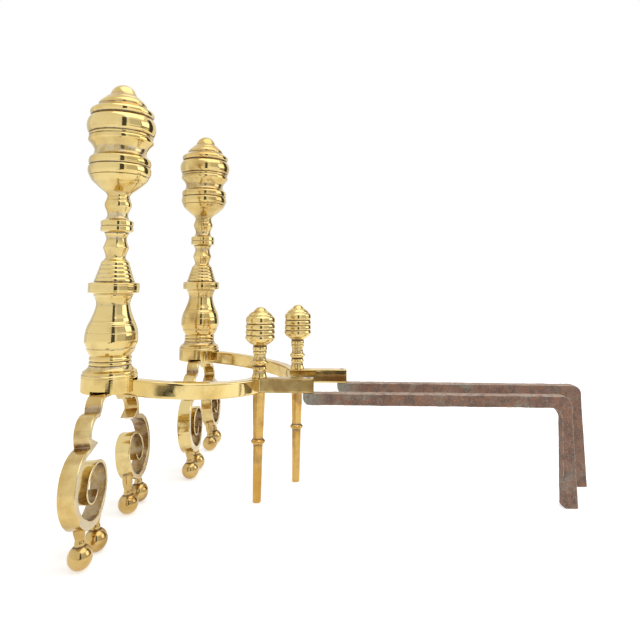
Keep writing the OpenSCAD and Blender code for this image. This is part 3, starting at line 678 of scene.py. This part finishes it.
def makePlinth(side, material):
    # the turned outline for the wall, a plain inner wall and roof, with the bottom edge raised in the notches
    s = plinthShape
    centre, low = nodeCentre(side + "_plinth"), nodeBox(side + "_plinth")[0][2]
    r, z, marks = turnedProfile(s["stations"], s["softness"], s["rows"])
    z = z + low
    roof = low + s["cavityHeight"]
    bore = s["cavityRadius"]
    inZ = np.linspace(low + s["cavityFrom"], roof, s["cavityRows"])
    radii = np.concatenate([[0], r[::-1], np.full(len(inZ), bore), [bore * s["roofStep"], 0]])
    heights = np.concatenate([[z[-1]], z[::-1], inZ, [roof, roof]])
    # knots round the drum: strap notches at the sides, a slot for the shank at the back; gate 1 is a notch
    # and gate 2 the slot, each with a leaning edge just outside it
    knots = []
    for middle, half, cut in ((0, s["notchHalf"], 1), (90, s["slotHalf"], 2), (180, s["notchHalf"], 1)):
        lean = half + s["notchLean"]
        knots += [(middle, -lean, 0), (middle, -half, cut), (middle, half, cut), (middle, lean, 0)]
    knotAngle, knotWidth, gate = np.array(knots).T
    basis = len(knots)
    columns, gates = [], []
    nextKnot = lambda k: (k + 1) % basis
    for k in range(basis):
        both = gate[k] and gate[nextKnot(k)]
        gap = (knotAngle[nextKnot(k)] - knotAngle[k]) % 360
        wide = s["sideColumns"] if gap < s["sideGap"] else s["frontColumns"]
        count = 1 if gate[k] != gate[nextKnot(k)] else (s["notchColumns"] if both else wide)
        for t in np.arange(count) / count:
            weights = np.zeros(basis)
            weights[k] += 1 - t
            weights[nextKnot(k)] += t
            columns.append(weights)
            gates.append(gate[k] if t == 0 or both else 0)
    columns, gates = np.array(columns), np.array(gates)
    away = np.maximum(radii, bore * s["leastSwing"])[:, None]
    angle = knotAngle + np.degrees(np.arcsin(np.clip(knotWidth / away, -1, 1)))
    # unwrap each column's two knots so that the last stretch closes past 360
    full = np.empty((len(radii), len(columns)))
    for c, weights in enumerate(columns):
        k = basis - 1 if weights[0] > 0 and weights[-1] > 0 else int(np.argmax(weights > 0))
        a, b = angle[:, k], angle[:, nextKnot(k)]
        b = np.where(b < a - 1e-6, b + 360, b)
        full[:, c] = a * weights[k] + b * weights[nextKnot(k)] if weights[nextKnot(k)] > 0 else a
    turn = np.radians(full)
    floor = np.select([gates == 1, gates == 2], [low + s["strapNotch"], roof], low)
    lift = np.maximum(heights[:, None], floor[None, :])
    x, y = centre[0] + radii[:, None] * np.cos(turn), centre[1] + radii[:, None] * np.sin(turn)
    # the cavity is darkened as painted shade, through the hollow mark
    for key, mark in marks.items():
        shadedInside = np.full(len(inZ) + 2, float(key == "hollow"))
        marks[key] = np.concatenate([mark[-1:], mark[::-1], shadedInside])[:, None]
    gridPiece(side + "_plinth_turned", side + "_plinth", np.stack([x, y, lift], -1), marks, material)


def collarStations():
    # the band, then the ribs up the cone, each standing out of its chord, then the neck
    s = collarShape
    foot, head = np.array(s["stations"][-1][:2]), np.array(s["coneHead"])
    ribs = [list(foot + (head - foot) * k / s["ribs"]) + [s["ribBow"]] for k in range(1, s["ribs"] + 1)]
    return s["stations"] + ribs + [s["neck"]]


def feed(tree, node, inputs):
    # sockets are linked and plain values set
    for key, value in inputs.items():
        if isinstance(value, bpy.types.NodeSocket):
            tree.links.new(value, node.inputs[key])
        else:
            node.inputs[key].default_value = value


def addNode(tree, kind, inputs=None, **settings):
    node = tree.nodes.new(kind)
    for key, value in settings.items():
        setattr(node, key, value)
    feed(tree, node, inputs or {})
    return node


def calc(tree, operation, a, b, clamp=False):
    return addNode(tree, "ShaderNodeMath", {0: a, 1: b}, operation=operation, use_clamp=clamp).outputs[0]


def times(tree, a, b):
    return calc(tree, "MULTIPLY", a, b)


def plus(tree, a, b, clamp=False):
    return calc(tree, "ADD", a, b, clamp)


def minus(tree, a, b, clamp=False):
    return calc(tree, "SUBTRACT", a, b, clamp)


def larger(tree, a, b):
    return calc(tree, "MAXIMUM", a, b)


def ramp(tree, value, fromMin, fromMax, toMin=0.0, toMax=1.0):
    inputs = {"Value": value, "From Min": fromMin, "From Max": fromMax, "To Min": toMin, "To Max": toMax}
    return addNode(tree, "ShaderNodeMapRange", inputs, interpolation_type="SMOOTHSTEP").outputs[0]


def noise(tree, vector, scale, detail=3.0, rough=0.55, stretch=None):
    if stretch:
        stretched = addNode(tree, "ShaderNodeVectorMath", {0: vector, 1: stretch}, operation="MULTIPLY")
        vector = stretched.outputs[0]
    inputs = {"Vector": vector, "Scale": scale, "Detail": detail, "Roughness": rough}
    return addNode(tree, "ShaderNodeTexNoise", inputs).outputs["Fac"]


def mixColor(tree, factor, a, b):
    # plain colours are red, green and blue
    a, b = [c if isinstance(c, bpy.types.NodeSocket) else (*c, 1) for c in (a, b)]
    return addNode(tree, "ShaderNodeMix", {0: factor, 6: a, 7: b}, data_type="RGBA").outputs[2]


def newGroup(name, inputs, outputs):
    # a group reads the point and some named values, and puts out masks or a height
    group = bpy.data.node_groups.new(name, "ShaderNodeTree")
    group.interface.new_socket("Vector", in_out="INPUT", socket_type="NodeSocketVector")
    for label, value in inputs.items():
        group.interface.new_socket(label, in_out="INPUT", socket_type="NodeSocketFloat").default_value = value
    for label in outputs:
        group.interface.new_socket(label, in_out="OUTPUT", socket_type="NodeSocketFloat")
    given = addNode(group, "NodeGroupInput").outputs
    return group, given, given["Vector"], addNode(group, "NodeGroupOutput").inputs


def ringMarks():
    # fine rings left by the lathe tool: noise along the outline only
    group, given, vector, out = newGroup("ringMarks", {"Along": 0.0, "Spacing": 0.0008}, ["Height"])
    inputs = {"W": calc(group, "DIVIDE", given["Along"], given["Spacing"]), "Scale": 1.0, "Detail": 2.0}
    fine = addNode(group, "ShaderNodeTexNoise", inputs, noise_dimensions="1D").outputs["Fac"]
    group.links.new(times(group, fine, noise(group, vector, 60.0, 2.0)), out["Height"])
    return group


def rubMarks():
    # hair scratches from polishing: three stretched noises laid across each other, only their crests kept
    group, given, vector, out = newGroup("rubMarks", {"Scale": 300.0}, ["Mask"])
    total = None
    for stretch in ((1.0, 0.05, 0.3), (0.04, 1.0, 0.6), (0.5, 0.5, 0.03)):
        hair = noise(group, vector, given["Scale"], 2.0, 0.5, stretch)
        kept = ramp(group, hair, 0.62, 0.72)
        total = kept if total is None else larger(group, total, kept)
    patch = ramp(group, noise(group, vector, 45.0, 2.0), 0.45, 0.65)
    group.links.new(times(group, total, patch), out["Mask"])
    return group


def castPits():
    # small holes in a casting: cells whose centre is close, kept in a few patches
    group, given, vector, out = newGroup("castPits", {"Size": 0.0012, "Amount": 0.3}, ["Mask"])
    scale = calc(group, "DIVIDE", 1.0, given["Size"])
    cell = addNode(group, "ShaderNodeTexVoronoi", {"Vector": vector, "Scale": scale, "Randomness": 1.0})
    hole = ramp(group, cell.outputs["Distance"], 0.32, 0.12)
    few = ramp(group, noise(group, vector, 110.0, 3.0), minus(group, 0.8, given["Amount"]), 0.85)
    group.links.new(times(group, hole, few), out["Mask"])
    return group


def tarnishFilm():
    # brown film from the hollow mark: tarnish in the hollows of a turning, painted shade under and inside
    # some parts, and soft blotches elsewhere
    inputs = {"HollowAndShade": 0.0, "HollowAndShadeFilm": 0.8, "Blotches": 0.3}
    group, given, vector, out = newGroup("tarnishFilm", inputs, ["Mask"])
    deep = times(group, given["HollowAndShade"], plus(group, 0.45, noise(group, vector, 210.0, 3.0)))
    deep = times(group, deep, given["HollowAndShadeFilm"])
    blotch = times(group, ramp(group, noise(group, vector, 38.0, 4.0), 0.46, 0.72), given["Blotches"])
    group.links.new(plus(group, deep, blotch, True), out["Mask"])
    return group


def rustCoat():
    # rust in three grains, plates, blotches and dust, with pits and a few broad grey-green patches
    outputs = ["Plate", "Blotch", "Moss", "Dust", "Height"]
    group, given, vector, out = newGroup("rustCoat", {"HollowAndShade": 0.0}, outputs)
    plate = noise(group, vector, 85.0, 5.0, 0.6)
    blotch = noise(group, vector, 240.0, 5.0, 0.65)
    dust = noise(group, vector, 900.0, 3.0, 0.6)
    group.links.new(ramp(group, plate, 0.42, 0.58), out["Plate"])
    group.links.new(ramp(group, blotch, 0.45, 0.62), out["Blotch"])
    group.links.new(ramp(group, noise(group, vector, 22.0, 3.0), 0.54, 0.68), out["Moss"])
    group.links.new(ramp(group, dust, 0.54, 0.68), out["Dust"])
    rise = plus(group, times(group, blotch, 0.6), times(group, dust, 0.3))
    group.links.new(minus(group, rise, times(group, given["HollowAndShade"], 0.4)), out["Height"])
    return group


groups = {make.__name__: make() for make in (ringMarks, rubMarks, castPits, tarnishFilm, rustCoat)}


def fillGroup(tree, name, inputs):
    node = addNode(tree, "ShaderNodeGroup", node_tree=groups[name])
    feed(tree, node, inputs)
    return node.outputs


def attribute(tree, name):
    return addNode(tree, "ShaderNodeAttribute", attribute_name=name).outputs["Fac"]


def newMaterial(name):
    material = bpy.data.materials.new(name)
    material.use_nodes = True
    return material, material.node_tree, material.node_tree.nodes["Principled BSDF"]


def bump(tree, shader, height, strength, distance):
    node = addNode(tree, "ShaderNodeBump", {"Height": height, "Strength": strength, "Distance": distance})
    tree.links.new(node.outputs["Normal"], shader.inputs["Normal"])


# Colours are red, green and blue, and scorch is the least and the most of the brown near the fire.
brassLook = {
    "polishedBrass": {
        "bright": (0.750, 0.585, 0.250), "deep": (0.690, 0.500, 0.175), "brown": (0.235, 0.130, 0.042),
        "chalk": (0.70, 0.64, 0.50), "hollows": 0.95, "blotches": 0.30, "rough": 0.050, "ringDepth": 0.45,
        "chalky": 0.0, "residue": 0.75, "pitAmount": 0.14, "wave": 0.6, "core": 0.80, "scorch": (0.45, 0.82),
    },
    "stopBrass": {
        "bright": (0.740, 0.565, 0.235), "deep": (0.660, 0.460, 0.165), "brown": (0.200, 0.105, 0.034),
        "chalk": (0.66, 0.57, 0.41), "hollows": 1.0, "blotches": 0.30, "rough": 0.065, "ringDepth": 0.45,
        "chalky": 0.0, "residue": 0.45, "pitAmount": 0.18, "wave": 0.7, "core": 0.80, "scorch": (0, 0),
    },
    "castBrass": {
        "bright": (0.750, 0.590, 0.265), "deep": (0.590, 0.405, 0.145), "brown": (0.260, 0.140, 0.050),
        "chalk": (0.64, 0.56, 0.42), "hollows": 0.85, "blotches": 0.42, "rough": 0.060, "ringDepth": 0.0,
        "chalky": 0.90, "residue": 0.40, "pitAmount": 0.46, "wave": 1.3, "core": 0.15, "scorch": (0, 0),
    },
    "wornBrass": {
        "bright": (0.620, 0.440, 0.175), "deep": (0.480, 0.295, 0.090), "brown": (0.150, 0.080, 0.028),
        "chalk": (0.56, 0.48, 0.36), "hollows": 0.90, "blotches": 0.70, "rough": 0.115, "ringDepth": 0.15,
        "chalky": 0.3, "residue": 0.35, "pitAmount": 0.40, "wave": 1.3, "core": 0.50, "scorch": (0, 0),
    },
    "dullerBrass": {
        "bright": (0.715, 0.545, 0.225), "deep": (0.640, 0.440, 0.150), "brown": (0.235, 0.130, 0.042),
        "chalk": (0.66, 0.59, 0.45), "hollows": 1.0, "blotches": 0.50, "rough": 0.060, "ringDepth": 0.45,
        "chalky": 0.0, "residue": 0.65, "pitAmount": 0.16, "wave": 0.7, "core": 0.85, "scorch": (0.0, 0.12),
    },
    "staffBrass": {
        "bright": (0.620, 0.395, 0.120), "deep": (0.520, 0.290, 0.062), "brown": (0.180, 0.095, 0.040),
        "chalk": (0.56, 0.48, 0.38), "hollows": 0.95, "blotches": 0.65, "rough": 0.10, "ringDepth": 0.25,
        "chalky": 0.0, "residue": 0.40, "pitAmount": 0.28, "wave": 1.2, "core": 0.60, "scorch": (0, 0),
    },
}
brassGrain = {
    "deep": 26.0, "scorch": 60.0, "chalk": 70.0, "wave": 110.0, "rough": 160.0, "residue": 170.0,
    "skin": 520.0,
}
brassWear = {
    "crestKept": 0.35, "coreTone": 0.45, "pitShade": 0.8, "filmRough": 0.20, "chalkRough": 0.40,
    "rubRough": 0.10, "grainRough": 0.06, "pitDepth": 1.2, "rubDepth": 0.06, "skinDepth": 0.25,
    "bump": 0.22, "depth": 0.00022,
}


def makeBrass(name, look):
    # bright metal, deeper coloured in patches, and brown hollows with pale polish left round a dark core;
    # where the hollow mark is painted shade, the brown and the core paint that shade
    wear = brassWear
    material, tree, shader = newMaterial(name)
    shader.inputs["Metallic"].default_value = 1.0
    vector = addNode(tree, "ShaderNodeTexCoord").outputs["Object"]
    grain = lambda key, detail: noise(tree, vector, brassGrain[key], detail)
    hollow, side, crest = attribute(tree, "hollow"), attribute(tree, "side"), attribute(tree, "crest")
    inputs = {"Vector": vector, "HollowAndShade": hollow, "HollowAndShadeFilm": look["hollows"], "Blotches": look["blotches"]}
    film = fillGroup(tree, "tarnishFilm", inputs)["Mask"]
    film = minus(tree, film, times(tree, crest, wear["crestKept"]), True)
    scorched = ramp(tree, grain("scorch", 4.0), 0.30, 0.70, *look["scorch"])
    film = larger(tree, film, times(tree, attribute(tree, "scorch"), scorched))
    pits = fillGroup(tree, "castPits", {"Vector": vector, "Amount": look["pitAmount"]})["Mask"]
    rub = fillGroup(tree, "rubMarks", {"Vector": vector})["Mask"]
    chalk = times(tree, times(tree, side, look["chalky"]), ramp(tree, grain("chalk", 4.0), 0.30, 0.62))
    left = times(tree, ramp(tree, hollow, 0.15, 0.50), ramp(tree, grain("residue", 4.0), 0.42, 0.58))
    chalk = larger(tree, chalk, times(tree, left, look["residue"]))
    color = mixColor(tree, ramp(tree, grain("deep", 4.0), 0.42, 0.66), look["bright"], look["deep"])
    color = mixColor(tree, film, color, look["brown"])
    color = mixColor(tree, chalk, color, look["chalk"])
    core = times(tree, ramp(tree, hollow, 0.50, 0.85), look["core"])
    color = mixColor(tree, core, color, [wear["coreTone"] * c for c in look["brown"]])
    color = mixColor(tree, times(tree, pits, wear["pitShade"]), color, look["brown"])
    tree.links.new(color, shader.inputs["Base Color"])
    rough = look["rough"]
    masks = {"filmRough": film, "chalkRough": chalk, "rubRough": rub, "grainRough": grain("rough", 3.0)}
    for key, mask in masks.items():
        rough = plus(tree, rough, times(tree, mask, wear[key]))
    tree.links.new(rough, shader.inputs["Roughness"])
    height = times(tree, grain("wave", 3.0), look["wave"])
    height = minus(tree, height, times(tree, pits, wear["pitDepth"]))
    height = minus(tree, height, times(tree, rub, wear["rubDepth"]))
    if look["ringDepth"]:
        rings = fillGroup(tree, "ringMarks", {"Along": attribute(tree, "along"), "Vector": vector})["Height"]
        height = plus(tree, height, times(tree, rings, look["ringDepth"]))
    else:
        height = plus(tree, height, times(tree, grain("skin", 3.0), wear["skinDepth"]))
    bump(tree, shader, height, wear["bump"], wear["depth"])
    return material


ironLook = {
    "rustedIron": {
        "base": (0.180, 0.116, 0.090), "plate": (0.295, 0.176, 0.122), "red": (0.390, 0.172, 0.088),
        "moss": (0.330, 0.335, 0.275), "dust": (0.68, 0.55, 0.44), "worn": (0.60, 0.52, 0.44),
        "rough": 0.70, "depth": 0.0010, "metallic": 0.15,
    },
    "darkIron": {
        "base": (0.050, 0.045, 0.040), "plate": (0.085, 0.066, 0.054), "red": (0.17, 0.080, 0.042),
        "moss": (0.070, 0.068, 0.055), "dust": (0.22, 0.17, 0.13), "worn": (0.20, 0.18, 0.16),
        "rough": 0.55, "depth": 0.0003, "metallic": 0.6,
    },
}
ironGrain = {"worn": 120.0, "topLightAndDust": 140.0, "moss": 190.0}
ironWear = {
    "red": 0.65, "moss": 0.6, "dust": 0.5, "topLightAndDust": 0.45, "worn": 0.75, "hollow": 0.55, "blotchRough": 0.15,
    "wornSmooth": 0.25, "bump": 0.6,
}


def makeIron(name, look):
    # dark scale under plates of rust, blotched red and grey-green, dusted pale, paler on faces that look up
    # as settled dust and painted top light, and worn on the edges
    wear = ironWear
    material, tree, shader = newMaterial(name)
    shader.inputs["Metallic"].default_value = look["metallic"]
    vector = addNode(tree, "ShaderNodeTexCoord").outputs["Object"]
    grain = lambda key: noise(tree, vector, ironGrain[key], 4.0)
    hollow, crest = attribute(tree, "hollow"), attribute(tree, "crest")
    coat = fillGroup(tree, "rustCoat", {"Vector": vector, "HollowAndShade": hollow})
    color = mixColor(tree, coat["Plate"], look["base"], look["plate"])
    color = mixColor(tree, times(tree, coat["Blotch"], wear["red"]), color, look["red"])
    grown = grain("moss")
    patch = times(tree, times(tree, coat["Moss"], wear["moss"]), ramp(tree, grown, 0.38, 0.58))
    nose = times(tree, attribute(tree, "frontEnd"), ramp(tree, grown, 0.30, 0.46))
    color = mixColor(tree, larger(tree, patch, nose), color, look["moss"])
    # faces that look up take the dust colour, partly settled dust and partly painted top light
    topLightAndDust = times(tree, attribute(tree, "upward"), ramp(tree, grain("topLightAndDust"), 0.30, 0.60))
    paleDustAndTopLight = larger(tree, times(tree, coat["Dust"], wear["dust"]), times(tree, topLightAndDust, wear["topLightAndDust"]))
    color = mixColor(tree, paleDustAndTopLight, color, look["dust"])
    worn = times(tree, crest, ramp(tree, grain("worn"), 0.40, 0.58))
    color = mixColor(tree, times(tree, worn, wear["worn"]), color, look["worn"])
    color = mixColor(tree, times(tree, hollow, wear["hollow"]), color, look["base"])
    tree.links.new(color, shader.inputs["Base Color"])
    rough = plus(tree, look["rough"], times(tree, coat["Blotch"], wear["blotchRough"]))
    tree.links.new(minus(tree, rough, times(tree, worn, wear["wornSmooth"])), shader.inputs["Roughness"])
    bump(tree, shader, coat["Height"], wear["bump"], look["depth"])
    return material


brass = {name: makeBrass(name, look) for name, look in brassLook.items()}
iron = {name: makeIron(name, look) for name, look in ironLook.items()}
print("materials made")


# arc, across and side points of each ribbon's section
strapSection = roundedSection(6, 14, 5)
shankSection = roundedSection(6, 8, 8)
barSection = roundedSection(6, 10, 10)

for side, column in (("right", brass["polishedBrass"]), ("left", brass["dullerBrass"])):
    turnedPiece(side + "_finial", finialShape, column)
    turnedPiece(side + "_shaft", shaftShape, column)
    turnedPiece(side + "_collar", collarShape, column, collarStations(), nodeBox(side + "_baluster")[1][2])
    turnedPiece(side + "_baluster", balusterShape, column)
    makePlinth(side, column)
    turnedPiece(side + "_log_stop", stopShape, brass["stopBrass"])
    turnedPiece(side + "_mid_leg", midLegShape, brass["staffBrass"])
    makeShank(side, column)
    makeBar(side, iron["rustedIron"])
    for inwards in (False, True):
        makeLeg(side, inwards, brass["castBrass"])
        for far in (True, False):
            makeFoot(side, inwards, far, brass["wornBrass"])
    # the rod and the rivet keep their solids
    for node, material in (("_tie_rod", "darkIron"), ("_rivet", "rustedIron")):
        for slot in frame["nodes"][side + node].material_slots:
            slot.material = iron[material]
    print(side, "andiron made")

# metres and radians in the shared frame; the picture's centre is where the lens axis meets it, in pixels
cameraShape = {
    "location": (0.6843, -0.0289, 0.2503), "yaw": -0.0154, "pitch": 0.1137, "roll": -0.0085,
    "focalPixels": 549.63, "imagePixels": 640, "centre": (321.55, 216.23),
}


def makeCamera():
    # the view direction from yaw and pitch off -X, the picture's axes rolled about it
    c = cameraShape
    yaw, pitch, roll = c["yaw"], c["pitch"], c["roll"]
    forward = Vector((-math.cos(yaw) * math.cos(pitch), math.sin(yaw) * math.cos(pitch), math.sin(pitch)))
    right = Vector((math.sin(yaw), math.cos(yaw), 0))
    down = forward.cross(right)
    rolledRight = right * math.cos(roll) + down * math.sin(roll)
    rolledDown = down * math.cos(roll) - right * math.sin(roll)
    data = bpy.data.cameras.new("camera")
    data.sensor_width = 36
    data.lens = c["focalPixels"] * data.sensor_width / c["imagePixels"]
    half = c["imagePixels"] / 2
    data.shift_x = (half - c["centre"][0]) / c["imagePixels"]
    data.shift_y = (c["centre"][1] - half) / c["imagePixels"]
    camera = bpy.data.objects.new("camera", data)
    turn = Matrix((rolledRight, -rolledDown, -forward)).transposed().to_4x4()
    camera.matrix_world = Matrix.Translation(c["location"]) @ turn
    bpy.context.scene.collection.objects.link(camera)
    bpy.context.scene.camera = camera
    print("camera made")


makeCamera()

studio = {
    "floorWhite": 0.80, "floorLift": 0.52, "floorRough": 0.9, "floorShine": 0.1, "floorReach": 30,
    "skyFill": 0.60, "lampAim": 0.2,
    # azimuth and distance from the pair's middle, height, size, watts
    "lamps": {
        "overhead": (60, 0.35, 1.60, (1.6, 1.6), 8),
        "rearSoftbox": (99.4, 1.20, 0.50, (0.80, 1.0), 5),
    },
    # azimuth and distance from the pair's middle, width, bottom, top, tone
    "cards": {
        "cameraCard": (3.7, 0.685, 0.19, 0.036, 0.85, 0.08),
        "lowCard": (-6.6, 0.688, 0.225, 0.0, 0.045, 0.03),
        "sideCard": (58, 1.30, 1.20, -0.1, 1.2, 0.72),
        "softboxFrame": (99.4, 1.26, 1.02, -0.1, 1.12, 0.35),
        "rearCard": (136, 1.242, 0.58, -0.1, 1.5, 0.06),
        "frontCard": (-118, 1.2, 0.9, 0.0, 1.0, 0.80),
    },
    "ceiling": {"reach": 2.2, "height": 2.0, "tone": 0.98},
}
pairY = (cadBox[0][1] + cadBox[1][1]) / 2


def stagePlane(name, corners, material):
    mesh = bpy.data.meshes.new(name)
    mesh.from_pydata(corners, [], [(0, 1, 2, 3)])
    mesh.materials.append(material)
    plane = bpy.data.objects.new(name, mesh)
    bpy.context.scene.collection.objects.link(plane)
    return plane


def levelSquare(reach, z):
    return [(-reach, -reach, z), (reach, -reach, z), (reach, reach, z), (-reach, reach, z)]


def around(azimuth, distance, height):
    a = math.radians(azimuth)
    return Vector((distance * math.cos(a), pairY + distance * math.sin(a), height))


def seenDirectly(tree):
    # 1 for rays from the camera, off a mirror or through glass
    path = addNode(tree, "ShaderNodeLightPath").outputs
    seen = larger(tree, path["Is Camera Ray"], path["Is Glossy Ray"])
    return larger(tree, seen, path["Is Transmission Ray"])


def makeFloor():
    # white wherever it is seen directly, so that only the object's shadow shows on it
    material, tree, shader = newMaterial("paleFloor")
    shader.inputs["Base Color"].default_value = (*[studio["floorWhite"]] * 3, 1)
    shader.inputs["Roughness"].default_value = studio["floorRough"]
    shader.inputs["Specular IOR Level"].default_value = studio["floorShine"]
    shader.inputs["Emission Color"].default_value = (1, 1, 1, 1)
    lift = times(tree, seenDirectly(tree), studio["floorLift"])
    tree.links.new(lift, shader.inputs["Emission Strength"])
    stagePlane("floor", levelSquare(studio["floorReach"], 0), material)


def makeWorld():
    # full white where it is seen directly, dimmer as a light
    world = bpy.data.worlds.new("studio")
    bpy.context.scene.world = world
    world.use_nodes = True
    tree = world.node_tree
    background = tree.nodes["Background"]
    background.inputs["Color"].default_value = (1, 1, 1, 1)
    level = times(tree, seenDirectly(tree), 1 - studio["skyFill"])
    tree.links.new(plus(tree, level, studio["skyFill"]), background.inputs["Strength"])


def makeLamps():
    for name, (azimuth, distance, height, size, watts) in studio["lamps"].items():
        place = around(azimuth, distance, height)
        data = bpy.data.lights.new(name, "AREA")
        data.shape = "RECTANGLE"
        data.size, data.size_y = size
        data.energy = watts
        light = bpy.data.objects.new(name, data)
        aim = Vector((0, pairY, studio["lampAim"])) - place
        light.matrix_world = Matrix.Translation(place) @ aim.to_track_quat("-Z", "Y").to_matrix().to_4x4()
        bpy.context.scene.collection.objects.link(light)


def mirrorCard(name, corners, tone):
    # a plain screen that shows in polished metal and nowhere else
    material, tree, _ = newMaterial(name)
    tree.nodes.clear()
    glow = addNode(tree, "ShaderNodeEmission", {"Color": (1, 1, 1, 1), "Strength": tone})
    screen = addNode(tree, "ShaderNodeOutputMaterial")
    tree.links.new(glow.outputs[0], screen.inputs["Surface"])
    plane = stagePlane(name, corners, material)
    plane.visible_camera = False
    plane.visible_diffuse = False
    plane.visible_shadow = False
    plane.visible_transmission = False


def makeCards():
    # upright cards round the pair, and a ceiling above the lamps
    for name, (azimuth, distance, width, bottom, top, tone) in studio["cards"].items():
        foot = around(azimuth, distance, 0)
        a = math.radians(azimuth)
        across = Vector((-math.sin(a), math.cos(a), 0)) * width / 2
        low, high = Vector((0, 0, bottom)), Vector((0, 0, top))
        corners = [foot - across + low, foot + across + low, foot + across + high, foot - across + high]
        mirrorCard(name, corners, tone)
    ceiling = studio["ceiling"]
    mirrorCard("ceiling", levelSquare(ceiling["reach"], ceiling["height"]), ceiling["tone"])


makeFloor()
makeWorld()
makeLamps()
makeCards()
bpy.context.scene.view_settings.view_transform = "Standard"
print("studio made")
